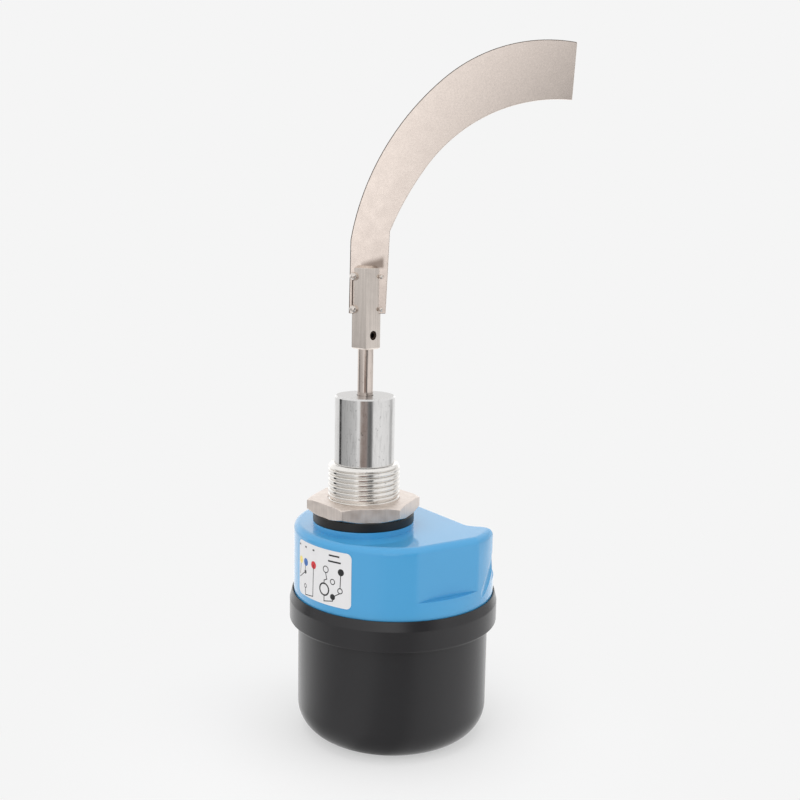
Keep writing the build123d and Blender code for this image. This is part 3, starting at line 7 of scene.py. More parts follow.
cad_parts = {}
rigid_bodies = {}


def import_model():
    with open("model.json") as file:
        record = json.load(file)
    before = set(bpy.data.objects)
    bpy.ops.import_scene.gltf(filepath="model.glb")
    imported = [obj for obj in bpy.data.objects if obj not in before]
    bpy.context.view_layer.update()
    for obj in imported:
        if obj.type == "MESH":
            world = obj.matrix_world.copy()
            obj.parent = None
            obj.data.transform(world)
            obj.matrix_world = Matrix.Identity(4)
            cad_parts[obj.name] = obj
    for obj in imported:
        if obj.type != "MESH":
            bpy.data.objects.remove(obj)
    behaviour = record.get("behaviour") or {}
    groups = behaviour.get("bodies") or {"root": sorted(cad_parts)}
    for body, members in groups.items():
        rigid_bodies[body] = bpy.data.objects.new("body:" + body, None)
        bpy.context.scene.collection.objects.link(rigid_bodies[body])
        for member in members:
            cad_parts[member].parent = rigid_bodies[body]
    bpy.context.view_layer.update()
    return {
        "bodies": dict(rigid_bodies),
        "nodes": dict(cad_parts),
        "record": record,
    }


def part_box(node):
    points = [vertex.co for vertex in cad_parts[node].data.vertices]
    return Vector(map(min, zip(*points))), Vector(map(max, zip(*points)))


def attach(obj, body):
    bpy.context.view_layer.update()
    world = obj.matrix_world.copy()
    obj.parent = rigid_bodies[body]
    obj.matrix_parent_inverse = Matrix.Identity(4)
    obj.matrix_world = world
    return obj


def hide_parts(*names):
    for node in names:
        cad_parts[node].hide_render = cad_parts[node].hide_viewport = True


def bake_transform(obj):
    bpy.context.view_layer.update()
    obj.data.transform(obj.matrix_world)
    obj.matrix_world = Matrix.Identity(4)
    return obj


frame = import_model()
nodes = frame["nodes"]
mm = 0.001
white = (1.0, 1.0, 1.0, 1.0)
print("frame loaded:", len(nodes), "nodes")


# small helpers

def linear(hexText):
    values = []
    for i in (0, 2, 4):
        c = int(hexText[i:i + 2], 16) / 255
        values.append(c / 12.92 if c <= 0.04045 else ((c + 0.055) / 1.055) ** 2.4)
    return (*values, 1.0)


def addNode(tree, kind, inputs=None, stops=(), **settings):
    node = tree.nodes.new(kind)
    for key, value in settings.items():
        setattr(node, key, value)
    for key, value in (inputs or {}).items():
        socket = node.inputs[key]
        if isinstance(value, bpy.types.NodeSocket):
            tree.links.new(value, socket)
        else:
            socket.default_value = value
    for i, (position, *shade) in enumerate(stops):  # a colour ramp's stops, grey or red-green-blue
        ends = node.color_ramp.elements
        stop = ends[i] if i < len(ends) else ends.new(position)
        stop.position = position
        stop.color = (*(shade * 3)[:3], 1.0)
    return node


def newMaterial(name, finish):
    mat = bpy.data.materials.new(name)
    mat.use_nodes = True
    tree = mat.node_tree
    bsdf = tree.nodes["Principled BSDF"]
    for key, value in finish.items():
        bsdf.inputs[key].default_value = linear(value) if isinstance(value, str) else value
    place = addNode(tree, "ShaderNodeTexCoord").outputs["Object"]
    return mat, tree, bsdf, place


def perMm(size):
    return 1.0 / (size * mm)  # noise scale for a pattern of this many millimetres


def darker(colour, share):
    return (*(c * share for c in colour[:3]), 1.0)


# camera

view = {
    "place": (-262.4, -427.9, 139.7),  # mm
    "yaw": -33.35,                     # degrees, from +Y
    "pitch": 9.385,                    # degrees, downwards
    "roll": 1.077,
    "focal": 1107.11,                  # in pixels of the frame below
    "frame": 800.0,
    "sensor": 36.0,                    # mm
    "nearest": 0.01,                   # m
}


def makeCamera():
    yaw, pitch, roll = (math.radians(view[k]) for k in ("yaw", "pitch", "roll"))
    right = Vector((math.cos(yaw), math.sin(yaw), 0))
    level = Vector((-math.sin(yaw), math.cos(yaw), 0))
    ahead = level * math.cos(pitch) - Vector((0, 0, math.sin(pitch)))
    up = right.cross(ahead)
    rolledRight = right * math.cos(roll) + up * math.sin(roll)
    rolledUp = up * math.cos(roll) - right * math.sin(roll)
    data = bpy.data.cameras.new("photoCamera")
    data.sensor_width = view["sensor"]
    data.lens = view["sensor"] * view["focal"] / view["frame"]
    data.clip_start = view["nearest"]
    camera = bpy.data.objects.new("photoCamera", data)
    turn = Matrix((rolledRight, rolledUp, -ahead)).transposed().to_4x4()
    camera.matrix_world = Matrix.Translation(Vector(view["place"]) * mm) @ turn
    bpy.context.collection.objects.link(camera)
    bpy.context.scene.camera = camera


makeCamera()
print("camera placed")


# studio

studio = {
    "backdrop": "f5f5f5",
    "floorZ": -105.1,     # mm, the cover's end
    "floorSize": 60.0,    # m
    "worldLight": 0.6,
    "floorShade": "f5f5f5",
    "fadeFrom": 0.03,     # m, where the lit floor starts to turn into the backdrop
    "fadeTo": 0.17,
    "fadeStart": 0.5,     # share of backdrop right under the object
    "eyeHeight": 0.15,    # m above the floor, from which the reflected floor is laid out
    "lean": 0.022,        # share of a turn by which the boards lean over
}
# heights of a reflected ray, as its Z at length 1, between which one zone gives way to the next
zones = {
    "far": (-0.41, -0.34),       # from the table close by to the table farther off
    "raised": (-0.12, -0.03),    # from the table to the boards
    "lean": (0.11, 0.19),        # from upright boards to leaning ones
    "overhead": (0.2, 0.5),      # from the boards to the white above
}
# what bare metal and gloss see round them, as (share of a full turn, brightness or red, green, blue):
# the table close by and farther off, with the dark room past its edge, and the boards and gaps above
nearRound = [
    (0.000, 0.62), (0.070, 0.72), (0.110, 0.70), (0.150, 0.47), (0.220, 0.42), (0.254, 0.68), (0.330, 0.92),
    (0.455, 0.95), (0.528, 1.20), (0.740, 1.20), (0.860, 1.15), (0.900, 0.95), (0.950, 0.75), (1.000, 0.62)]
tableRound = [
    (0.000, 0.58), (0.070, 0.68), (0.088, 0.92), (0.108, 0.95), (0.122, 0.42, 0.36, 0.33),
    (0.150, 0.30, 0.24, 0.215), (0.185, 0.36, 0.30, 0.28), (0.197, 0.22), (0.222, 0.14), (0.240, 0.28),
    (0.254, 0.95), (0.330, 1.00), (0.455, 0.92), (0.472, 0.62), (0.510, 0.62), (0.528, 0.98), (0.740, 1.00),
    (0.760, 0.95), (0.845, 0.90), (0.857, 0.05), (0.883, 0.05), (0.895, 0.44), (0.950, 0.50), (1.000, 0.58)]
boardsRound = [
    (0.000, 0.85), (0.080, 1.05), (0.130, 1.33), (0.173, 1.35), (0.187, 0.66), (0.199, 0.28), (0.213, 0.10),
    (0.258, 0.12), (0.276, 0.40), (0.305, 0.90), (0.410, 0.68), (0.500, 0.64), (0.580, 1.25), (0.640, 1.32),
    (0.740, 1.25), (0.840, 1.12), (0.870, 0.70), (0.900, 0.82), (0.950, 0.80), (1.000, 0.85)]


def makeSurroundings():
    # light by direction, shared by the world and the floor that metal sees
    tree = bpy.data.node_groups.new("surroundings", "ShaderNodeTree")
    tree.interface.new_socket("Direction", in_out="INPUT", socket_type="NodeSocketVector")
    tree.interface.new_socket("Light", in_out="OUTPUT", socket_type="NodeSocketColor")
    direction = addNode(tree, "NodeGroupInput").outputs["Direction"]
    level = addNode(tree, "ShaderNodeVectorMath", {0: direction}, operation="NORMALIZE").outputs[0]
    split = addNode(tree, "ShaderNodeSeparateXYZ", {"Vector": level}).outputs
    bearing = addNode(tree, "ShaderNodeMath", {0: split["Y"], 1: split["X"]}, operation="ARCTAN2").outputs[0]
    part = addNode(tree, "ShaderNodeMath", {
        0: bearing, 1: 1 / math.tau, 2: 0.5}, operation="MULTIPLY_ADD").outputs[0]
    change = {}
    for zone, (start, end) in zones.items():
        change[zone] = addNode(tree, "ShaderNodeMapRange", {
            "Value": split["Z"], "From Min": start, "From Max": end},
            interpolation_type="LINEAR" if zone == "lean" else "SMOOTHSTEP").outputs[0]
    moved = addNode(tree, "ShaderNodeMath", {
        0: change["lean"], 1: -studio["lean"], 2: part}, operation="MULTIPLY_ADD").outputs[0]
    near = addNode(tree, "ShaderNodeValToRGB", {"Fac": part}, stops=nearRound).outputs["Color"]
    table = addNode(tree, "ShaderNodeValToRGB", {"Fac": part}, stops=tableRound).outputs["Color"]
    boards = addNode(tree, "ShaderNodeValToRGB", {"Fac": moved}, stops=boardsRound).outputs["Color"]
    seen = near
    for zone, light in (("far", table), ("raised", boards), ("overhead", white)):
        seen = addNode(tree, "ShaderNodeMix", {
            0: change[zone], 6: seen, 7: light}, data_type="RGBA").outputs[2]
    addNode(tree, "NodeGroupOutput", {"Light": seen})
    return tree


def makeWorld(surroundings):
    world = bpy.data.worlds.new("studio")
    bpy.context.scene.world = world
    world.use_nodes = True
    tree = world.node_tree
    tree.nodes.clear()
    direction = addNode(tree, "ShaderNodeTexCoord").outputs["Generated"]
    around = addNode(tree, "ShaderNodeGroup", {"Direction": direction}, node_tree=surroundings).outputs[0]
    seen = addNode(tree, "ShaderNodeBackground", {"Color": around})
    plain = addNode(tree, "ShaderNodeBackground", {"Color": white, "Strength": studio["worldLight"]})
    backdrop = addNode(tree, "ShaderNodeBackground", {"Color": linear(studio["backdrop"])})
    rays = addNode(tree, "ShaderNodeLightPath").outputs
    glossy = addNode(tree, "ShaderNodeMixShader", {
        0: rays["Is Glossy Ray"], 1: plain.outputs[0], 2: seen.outputs[0]})
    camera = addNode(tree, "ShaderNodeMixShader", {
        0: rays["Is Camera Ray"], 1: glossy.outputs[0], 2: backdrop.outputs[0]})
    addNode(tree, "ShaderNodeOutputWorld", {"Surface": camera.outputs[0]})


def makeFloor(surroundings):
    bpy.ops.mesh.primitive_plane_add(size=studio["floorSize"], location=(0, 0, studio["floorZ"] * mm))
    floor = bpy.context.object
    floor.name = "floor"
    mat = bpy.data.materials.new("paleFloor")
    mat.use_nodes = True
    tree = mat.node_tree
    tree.nodes.clear()
    place = addNode(tree, "ShaderNodeTexCoord").outputs["Object"]
    reach = addNode(tree, "ShaderNodeVectorMath", {0: place}, operation="LENGTH").outputs["Value"]
    fade = addNode(tree, "ShaderNodeMapRange", {
        "Value": reach, "From Min": studio["fadeFrom"], "From Max": studio["fadeTo"],
        "To Min": studio["fadeStart"]}, interpolation_type="SMOOTHSTEP").outputs[0]
    lit = addNode(tree, "ShaderNodeBsdfDiffuse", {"Color": linear(studio["floorShade"])}).outputs[0]
    pale = addNode(tree, "ShaderNodeEmission", {"Color": linear(studio["backdrop"])}).outputs[0]
    shown = addNode(tree, "ShaderNodeMixShader", {0: fade, 1: lit, 2: pale}).outputs[0]
    below = addNode(tree, "ShaderNodeVectorMath", {
        0: place, 1: (0, 0, -studio["eyeHeight"])}, operation="ADD").outputs[0]
    around = addNode(tree, "ShaderNodeGroup", {"Direction": below}, node_tree=surroundings).outputs[0]
    mirrored = addNode(tree, "ShaderNodeEmission", {"Color": around}).outputs[0]
    rays = addNode(tree, "ShaderNodeLightPath").outputs
    other = addNode(tree, "ShaderNodeMixShader", {0: rays["Is Glossy Ray"], 1: lit, 2: mirrored}).outputs[0]
    seen = addNode(tree, "ShaderNodeMixShader", {0: rays["Is Camera Ray"], 1: other, 2: shown}).outputs[0]
    addNode(tree, "ShaderNodeOutputMaterial", {"Surface": seen})
    floor.data.materials.append(mat)


lamps = {
    # name: (place in mm, aimed at in mm, size in mm, watts)
    "keyLeft": ((-800, -350, 500), (0, 0, 40), 900, 3.8),
    "fillRight": ((560, -640, 350), (20, 0, 40), 800, 2.2),
    "above": ((0, 100, 1050), (0, 0, 0), 1000, 4.4),
}


def makeLamps():
    for name, (place, target, size, watts) in lamps.items():
        data = bpy.data.lights.new(name, "AREA")
        data.shape = "SQUARE"
        data.size = size * mm
        data.energy = watts
        lamp = bpy.data.objects.new(name, data)
        lamp.visible_glossy = False  # metal sees the boards instead
        aim = (Vector(target) - Vector(place)).to_track_quat("-Z", "Y")
        lamp.matrix_world = Matrix.Translation(Vector(place) * mm) @ aim.to_matrix().to_4x4()
        bpy.context.collection.objects.link(lamp)


surroundings = makeSurroundings()
makeWorld(surroundings)
makeFloor(surroundings)
makeLamps()
bpy.context.scene.view_settings.view_transform = "Standard"
print("studio made")


# materials: sizes of patterns and heights of relief are in mm

enamelSkin = {"roughness": 0.5, "shine": 0.2, "coatRoughness": 0.05, "peel": 3.0, "relief": 0.012}


def enamel(name, colour):
    # die-cast aluminium under glossy stoved enamel: deep colour, a mirror coat, soft orange peel
    mat, tree, bsdf, place = newMaterial(name, {
        "Base Color": colour, "Roughness": enamelSkin["roughness"], "Specular IOR Level": enamelSkin["shine"],
        "Coat Weight": 1.0, "Coat Roughness": enamelSkin["coatRoughness"]})
    peel = addNode(tree, "ShaderNodeTexNoise", {
        "Vector": place, "Scale": perMm(enamelSkin["peel"]), "Detail": 1.0}).outputs["Fac"]
    skin = addNode(tree, "ShaderNodeBump", {"Height": peel, "Distance": enamelSkin["relief"] * mm})
    tree.links.new(skin.outputs["Normal"], bsdf.inputs["Coat Normal"])
    return mat


mouldSkin = {"grain": 0.45, "relief": 0.006}


def moulded(name, colour, roughness):
    # injection-moulded thermoplastic: semi-gloss skin with a very fine texture
    mat, tree, bsdf, place = newMaterial(name, {"Base Color": colour, "Roughness": roughness})
    grain = addNode(tree, "ShaderNodeTexNoise", {
        "Vector": place, "Scale": perMm(mouldSkin["grain"]), "Detail": 3.0}).outputs["Fac"]
    skin = addNode(tree, "ShaderNodeBump", {"Height": grain, "Distance": mouldSkin["relief"] * mm})
    tree.links.new(skin.outputs["Normal"], bsdf.inputs["Normal"])
    return mat


turning = {
    # ranges are of the noise, from where it starts to show to where it shows in full
    "ring": 0.25, "across": 0.02, "relief": 0.004,                # tool rings, drawn out round the axis
    "cloud": 5.0, "cloudRange": (0.35, 0.7), "dull": (0.7, 1.8),  # handling marks, in shares of roughness
    "pit": 0.9, "pitRange": (0.66, 0.74), "pitShade": 0.55,
    "smear": 1.1, "upright": 0.16, "smearRange": (0.5, 0.72),     # wiped marks, drawn out along the axis
}


def turnedSteel(name, colour, roughness, smears=0.84):
    # turned stainless steel, polished: faint tool rings, cloudy handling marks, pits and upright smears
    mat, tree, bsdf, place = newMaterial(name, {"Metallic": 1.0})
    across = turning["across"]
    flat = addNode(tree, "ShaderNodeMapping", {"Vector": place, "Scale": (across, across, 1.0)}).outputs[0]
    rings = addNode(tree, "ShaderNodeTexNoise", {
        "Vector": flat, "Scale": perMm(turning["ring"])}).outputs["Fac"]
    cut = addNode(tree, "ShaderNodeBump", {"Height": rings, "Distance": turning["relief"] * mm})
    tree.links.new(cut.outputs["Normal"], bsdf.inputs["Normal"])
    cloud = addNode(tree, "ShaderNodeTexNoise", {
        "Vector": place, "Scale": perMm(turning["cloud"]), "Detail": 4.0}).outputs["Fac"]
    dull = addNode(tree, "ShaderNodeMapRange", {
        "Value": cloud, "From Min": turning["cloudRange"][0], "From Max": turning["cloudRange"][1],
        "To Min": roughness * turning["dull"][0], "To Max": roughness * turning["dull"][1]})
    tree.links.new(dull.outputs[0], bsdf.inputs["Roughness"])
    pits = addNode(tree, "ShaderNodeTexNoise", {
        "Vector": place, "Scale": perMm(turning["pit"]), "Detail": 2.0}).outputs["Fac"]
    spots = addNode(tree, "ShaderNodeMapRange", {
        "Value": pits, "From Min": turning["pitRange"][0], "From Max": turning["pitRange"][1]}).outputs[0]
    tall = addNode(tree, "ShaderNodeMapping", {
        "Vector": place, "Scale": (1.0, 1.0, turning["upright"])}).outputs[0]
    wiped = addNode(tree, "ShaderNodeTexNoise", {
        "Vector": tall, "Scale": perMm(turning["smear"]), "Detail": 4.0}).outputs["Fac"]
    smear = addNode(tree, "ShaderNodeMapRange", {
        "Value": wiped, "From Min": turning["smearRange"][0],
        "From Max": turning["smearRange"][1]}).outputs[0]
    base = linear(colour)
    wipedTone = addNode(tree, "ShaderNodeMix", {
        0: smear, 6: base, 7: darker(base, smears)}, data_type="RGBA").outputs[2]
    tone = addNode(tree, "ShaderNodeMix", {
        0: spots, 6: wipedTone, 7: darker(base, turning["pitShade"])}, data_type="RGBA").outputs[2]
    tree.links.new(tone, bsdf.inputs["Base Color"])
    return mat


facing = {"ring": 0.6, "relief": 0.02}


def facedSteel(name, colour, roughness):
    # a turned part's end face: rings of the facing tool about its axis
    mat, tree, bsdf, place = newMaterial(name, {
        "Base Color": colour, "Metallic": 1.0, "Roughness": roughness})
    level = addNode(tree, "ShaderNodeVectorMath", {0: place, 1: (1, 1, 0)}, operation="MULTIPLY").outputs[0]
    reach = addNode(tree, "ShaderNodeVectorMath", {0: level}, operation="LENGTH").outputs["Value"]
    rings = addNode(tree, "ShaderNodeTexNoise", {
        "W": reach, "Scale": perMm(facing["ring"])}, noise_dimensions="1D").outputs["Fac"]
    cut = addNode(tree, "ShaderNodeBump", {"Height": rings, "Distance": facing["relief"] * mm})
    tree.links.new(cut.outputs["Normal"], bsdf.inputs["Normal"])
    return mat


rolling = {
    "grain": 0.35, "along": 0.06, "relief": 0.003,                  # fine marks, drawn out along the sheet
    "blotch": 5.0, "blotchRange": (0.3, 0.7), "dull": (0.9, 1.15),  # in shares of roughness
    "grit": 0.8, "gritRange": (0.3, 0.7), "gritShade": 0.9,
}
bladeMarks = {
    "at": (2.1, -1.2, 118.0),       # mm, the middle of the painted shadow's lower edge
    "turn": -29.8,                  # degrees, the sheet's run across
    "reach": (5.3, 10.0, 4.0),      # mm to each side, through and up; lengths below are in reaches
    "rise": 0.4,                    # the painted shadow's upper edge climbs to the right
    "side": (0.8, 1.1),             # the painted shadow fades out between these lengths to the side
    "head": (0.1, 0.95),            # and these heights above
    "foot": (-0.4, -0.15),          # and below
    # colour of the painted shadow and reflection of the holder's top
    "paintedShadowTint": "9b8d84",
    "seam": -1.65,                  # the holder's corner, to the side, along which shade is painted
    "seamTop": -0.9,
    "seamSide": (0.03, 0.1),
    # colour of the painted shade in the holder's corner
    "paintedCornerShadeColour": "5b4f48",
}


def rolledSheet(name, colour, roughness):
    # cold-rolled stainless sheet: satin, a fine cross-hatched grain and faint cloudy blotches
    mat, tree, bsdf, place = newMaterial(name, {"Metallic": 1.0})
    along = addNode(tree, "ShaderNodeMapping", {
        "Vector": place, "Scale": (rolling["along"], 1.0, 1.0)}).outputs[0]
    marks = addNode(tree, "ShaderNodeTexNoise", {
        "Vector": along, "Scale": perMm(rolling["grain"]), "Detail": 3.0}).outputs["Fac"]
    roll = addNode(tree, "ShaderNodeBump", {"Height": marks, "Distance": rolling["relief"] * mm})
    tree.links.new(roll.outputs["Normal"], bsdf.inputs["Normal"])
    blotch = addNode(tree, "ShaderNodeTexNoise", {
        "Vector": place, "Scale": perMm(rolling["blotch"]), "Detail": 5.0}).outputs["Fac"]
    dull = addNode(tree, "ShaderNodeMapRange", {
        "Value": blotch, "From Min": rolling["blotchRange"][0], "From Max": rolling["blotchRange"][1],
        "To Min": roughness * rolling["dull"][0], "To Max": roughness * rolling["dull"][1]})
    tree.links.new(dull.outputs[0], bsdf.inputs["Roughness"])
    grit = addNode(tree, "ShaderNodeTexNoise", {
        "Vector": place, "Scale": perMm(rolling["grit"]), "Detail": 3.0}).outputs["Fac"]
    shade = addNode(tree, "ShaderNodeMapRange", {
        "Value": grit, "From Min": rolling["gritRange"][0], "From Max": rolling["gritRange"][1]}).outputs[0]
    base = linear(colour)
    tone = addNode(tree, "ShaderNodeMix", {
        0: shade, 6: darker(base, rolling["gritShade"]), 7: base}, data_type="RGBA").outputs[2]
    # painted shadow and reflection of the holder's top on the sheet just over the holder's end, and painted
    # shade along the holder's corner
    local = addNode(tree, "ShaderNodeMapping", {
        "Vector": place, "Location": [c * mm for c in bladeMarks["at"]],
        "Rotation": (0, 0, math.radians(bladeMarks["turn"])),
        "Scale": [c * mm for c in bladeMarks["reach"]]}, vector_type="TEXTURE").outputs[0]
    spot = addNode(tree, "ShaderNodeSeparateXYZ", {"Vector": local}).outputs
    aside = addNode(tree, "ShaderNodeMath", {0: spot["X"]}, operation="ABSOLUTE").outputs[0]
    level = addNode(tree, "ShaderNodeMath", {
        0: spot["X"], 1: -bladeMarks["rise"], 2: spot["Z"]}, operation="MULTIPLY_ADD").outputs[0]
    within = addNode(tree, "ShaderNodeMapRange", {
        "Value": aside, "From Min": bladeMarks["side"][0], "From Max": bladeMarks["side"][1],
        "To Min": 1.0, "To Max": 0.0}, interpolation_type="SMOOTHSTEP").outputs[0]
    under = addNode(tree, "ShaderNodeMapRange", {
        "Value": level, "From Min": bladeMarks["head"][0], "From Max": bladeMarks["head"][1],
        "To Min": 1.0, "To Max": 0.0}, interpolation_type="SMOOTHSTEP").outputs[0]
    over = addNode(tree, "ShaderNodeMapRange", {
        "Value": spot["Z"], "From Min": bladeMarks["foot"][0], "From Max": bladeMarks["foot"][1]}).outputs[0]
    inside = addNode(tree, "ShaderNodeMath", {0: within, 1: under}, operation="MULTIPLY").outputs[0]
    paintedShadowMask = addNode(tree, "ShaderNodeMath", {0: inside, 1: over}, operation="MULTIPLY").outputs[0]
    withPaintedShadow = addNode(tree, "ShaderNodeMix", {
        0: paintedShadowMask, 6: tone, 7: linear(bladeMarks["paintedShadowTint"])}, data_type="RGBA").outputs[2]
    # painted shade: a dark line on the sheet along the holder's corner, below the seam's top
    offSeam = addNode(tree, "ShaderNodeMath", {
        0: spot["X"], 1: bladeMarks["seam"]}, operation="SUBTRACT").outputs[0]
    gap = addNode(tree, "ShaderNodeMath", {0: offSeam}, operation="ABSOLUTE").outputs[0]
    line = addNode(tree, "ShaderNodeMapRange", {
        "Value": gap, "From Min": bladeMarks["seamSide"][0], "From Max": bladeMarks["seamSide"][1],
        "To Min": 1.0, "To Max": 0.0}).outputs[0]
    low = addNode(tree, "ShaderNodeMath", {
        0: spot["Z"], 1: bladeMarks["seamTop"]}, operation="LESS_THAN").outputs[0]
    paintedCornerShadeMask = addNode(tree, "ShaderNodeMath", {0: line, 1: low}, operation="MULTIPLY").outputs[0]
    withPaintedCornerShade = addNode(tree, "ShaderNodeMix", {
        0: paintedCornerShadeMask, 6: withPaintedShadow, 7: linear(bladeMarks["paintedCornerShadeColour"])}, data_type="RGBA").outputs[2]
    tree.links.new(withPaintedCornerShade, bsdf.inputs["Base Color"])
    return mat


drawing = {
    "upright": 0.04, "relief": 0.004,                             # scratches, drawn out along the bar
    "patch": 3.5, "patchRange": (0.3, 0.7), "dull": (0.85, 1.2),  # in shares of roughness
    "patchShare": 0.25, "wornRange": (0.36, 0.62),                # how far patches dim the scratches' tone
}


def drawnMetal(name, colour, roughness, streak=0.9, mottle=0.84):
    # drawn bar, milled or brushed lengthwise: upright scratches, drawn coarser than the real ones so that
    # they show, and a slightly uneven sheen
    mat, tree, bsdf, place = newMaterial(name, {"Metallic": 1.0})
    upright = addNode(tree, "ShaderNodeMapping", {
        "Vector": place, "Scale": (1.0, 1.0, drawing["upright"])}).outputs[0]
    lines = addNode(tree, "ShaderNodeTexNoise", {
        "Vector": upright, "Scale": perMm(streak), "Detail": 4.0}).outputs["Fac"]
    scratch = addNode(tree, "ShaderNodeBump", {"Height": lines, "Distance": drawing["relief"] * mm})
    tree.links.new(scratch.outputs["Normal"], bsdf.inputs["Normal"])
    patch = addNode(tree, "ShaderNodeTexNoise", {
        "Vector": place, "Scale": perMm(drawing["patch"]), "Detail": 2.0}).outputs["Fac"]
    dull = addNode(tree, "ShaderNodeMapRange", {
        "Value": patch, "From Min": drawing["patchRange"][0], "From Max": drawing["patchRange"][1],
        "To Min": roughness * drawing["dull"][0], "To Max": roughness * drawing["dull"][1]})
    tree.links.new(dull.outputs[0], bsdf.inputs["Roughness"])
    worn = addNode(tree, "ShaderNodeMix", {
        0: drawing["patchShare"], 2: lines, 3: patch}, data_type="FLOAT").outputs[0]
    shade = addNode(tree, "ShaderNodeMapRange", {
        "Value": worn, "From Min": drawing["wornRange"][0], "From Max": drawing["wornRange"][1]}).outputs[0]
    base = linear(colour)
    tone = addNode(tree, "ShaderNodeMix", {
        0: shade, 6: darker(base, mottle), 7: base}, data_type="RGBA").outputs[2]
    tree.links.new(tone, bsdf.inputs["Base Color"])
    return mat


hardware = {"relief": 0.004}


def plainMetal(name, colour, roughness, grain=0.3):
    # small hardware: plated or ground metal with a fine even grain
    mat, tree, bsdf, place = newMaterial(name, {
        "Base Color": colour, "Metallic": 1.0, "Roughness": roughness})
    fine = addNode(tree, "ShaderNodeTexNoise", {"Vector": place, "Scale": perMm(grain)}).outputs["Fac"]
    skin = addNode(tree, "ShaderNodeBump", {"Height": fine, "Distance": hardware["relief"] * mm})
    tree.links.new(skin.outputs["Normal"], bsdf.inputs["Normal"])
    return mat


rubberSkin = {"roughness": 0.4, "bloom": 0.3, "relief": 0.01}


def softRubber(name, colour):
    # moulded nitrile rubber: dull black with a faint bloom
    mat, tree, bsdf, place = newMaterial(name, {"Base Color": colour, "Roughness": rubberSkin["roughness"]})
    bloom = addNode(tree, "ShaderNodeTexNoise", {
        "Vector": place, "Scale": perMm(rubberSkin["bloom"]), "Detail": 3.0}).outputs["Fac"]
    skin = addNode(tree, "ShaderNodeBump", {"Height": bloom, "Distance": rubberSkin["relief"] * mm})
    tree.links.new(skin.outputs["Normal"], bsdf.inputs["Normal"])
    return mat


inkFilm = {"mottle": 0.6, "roughness": (0.34, 0.52)}


def printInk(name, colour):
    # screen-printed ink: a thin, slightly glossy film with faint mottling
    mat, tree, bsdf, place = newMaterial(name, {"Base Color": colour})
    mottle = addNode(tree, "ShaderNodeTexNoise", {
        "Vector": place, "Scale": perMm(inkFilm["mottle"]), "Detail": 2.0}).outputs["Fac"]
    dull = addNode(tree, "ShaderNodeMapRange", {
        "Value": mottle, "To Min": inkFilm["roughness"][0], "To Max": inkFilm["roughness"][1]})
    tree.links.new(dull.outputs[0], bsdf.inputs["Roughness"])
    return mat


materials = {
    "blue_paint": enamel("stovedBlueEnamel", "449acd"),
    "black_plastic": moulded("mouldedBlackPlastic", "1f1e20", 0.26),
    "polished_steel": turnedSteel("turnedStainlessSteel", "dcdbda", 0.1),
    "stainless_bar": drawnMetal("drawnStainlessBar", "e4dad2", 0.22),
    "ground_shaft": turnedSteel("groundStainlessShaft", "d8ccc4", 0.1),
    "faced_end": facedSteel("facedStainlessEnd", "b8b6b4", 0.32),
    "cut_thread": turnedSteel("cutStainlessThread", "ebe8e4", 0.13, smears=1.0),
    "stainless_sheet": rolledSheet("rolledStainlessSheet", "eee1d8", 0.22),
    # painted shade on one side of the blade's outline
    "painted_shade_edge": plainMetal("paintedShadeEdgeMetal", "665d56", 0.4),
    "weld_metal": plainMetal("tackWeld", "d9d1ca", 0.14, 0.8),
    "dark_steel": plainMetal("blackOxideSteel", "3c322c", 0.45),
    "nut_steel": drawnMetal("machinedNickelSteel", "ece1d9", 0.4, streak=1.2, mottle=0.9),
    "black_rubber": softRubber("nitrileRubber", "0b0a0a"),
    "white_label": moulded("whiteLabelFilm", "dddcdd", 0.4),
    "bearing_steel": plainMetal("groundSteel", "c6c6c6", 0.2),
    "aluminium_tube": plainMetal("drawnAluminium", "cdced0", 0.35),
    "spring_steel": plainMetal("hardDrawnSpringSteel", "8d8d8f", 0.3),
    "zinc_steel": plainMetal("zincPlatedSteel", "b9b8b0", 0.33),
    "bronze": plainMetal("sinteredBronze", "a97b45", 0.5),
    "brass_screw": plainMetal("turnedBrass", "c9a55c", 0.28),
    "motor_steel": plainMetal("pressedMotorCan", "a5a7a8", 0.4),
    "red_plastic": moulded("mouldedRedPlastic", "a8140f", 0.3),
    "white_plastic": moulded("mouldedWhitePlastic", "dcdcd4", 0.45),
}

slotOf = {row["node"]: row["material_slot"] for row in frame["record"]["subparts"]}
finishOf = {"paddle_shaft": "ground_shaft"}  # a finer finish than the rest of its slot
for name, node in nodes.items():
    node.data.materials.clear()
    node.data.materials.append(materials[finishOf.get(name, slotOf[name])])
print("materials made:", len(materials))


# pieces made here in place of plain CAD ones

cleaning = {
    "join": 0.001,     # mm, corners this close become one
    "flat": 0.5,       # degrees, faces that differ by less become one
    "crisp": 30,       # degrees, edges sharper than this are shaded sharp
}


def bodyOf(name):
    return next(body for body, empty in frame["bodies"].items() if nodes[name].parent == empty)


def joinedCopy(name):
    # a CAD piece's loose triangles joined up, with its flat faces whole again
    form = bmesh.new()
    form.from_mesh(nodes[name].data)
    bmesh.ops.remove_doubles(form, verts=form.verts, dist=cleaning["join"] * mm)
    bmesh.ops.dissolve_limit(
        form, angle_limit=math.radians(cleaning["flat"]), verts=form.verts, edges=form.edges)
    return form


def standIn(name, form, crisp=cleaning["crisp"]):
    # a new piece for a CAD node, with the same finish
    mesh = bpy.data.meshes.new(name + "Finished")
    form.to_mesh(mesh)
    form.free()
    custom = mesh.attributes.get("custom_normal")  # shading made for the CAD's own triangles
    if custom:
        mesh.attributes.remove(custom)
    mesh.polygons.foreach_set("use_smooth", [True] * len(mesh.polygons))
    mesh.set_sharp_from_angle(angle=math.radians(crisp))
    piece = bpy.data.objects.new(name + "Finished", mesh)
    bpy.context.collection.objects.link(piece)
    mesh.materials.append(materials[slotOf[name]])
    return piece


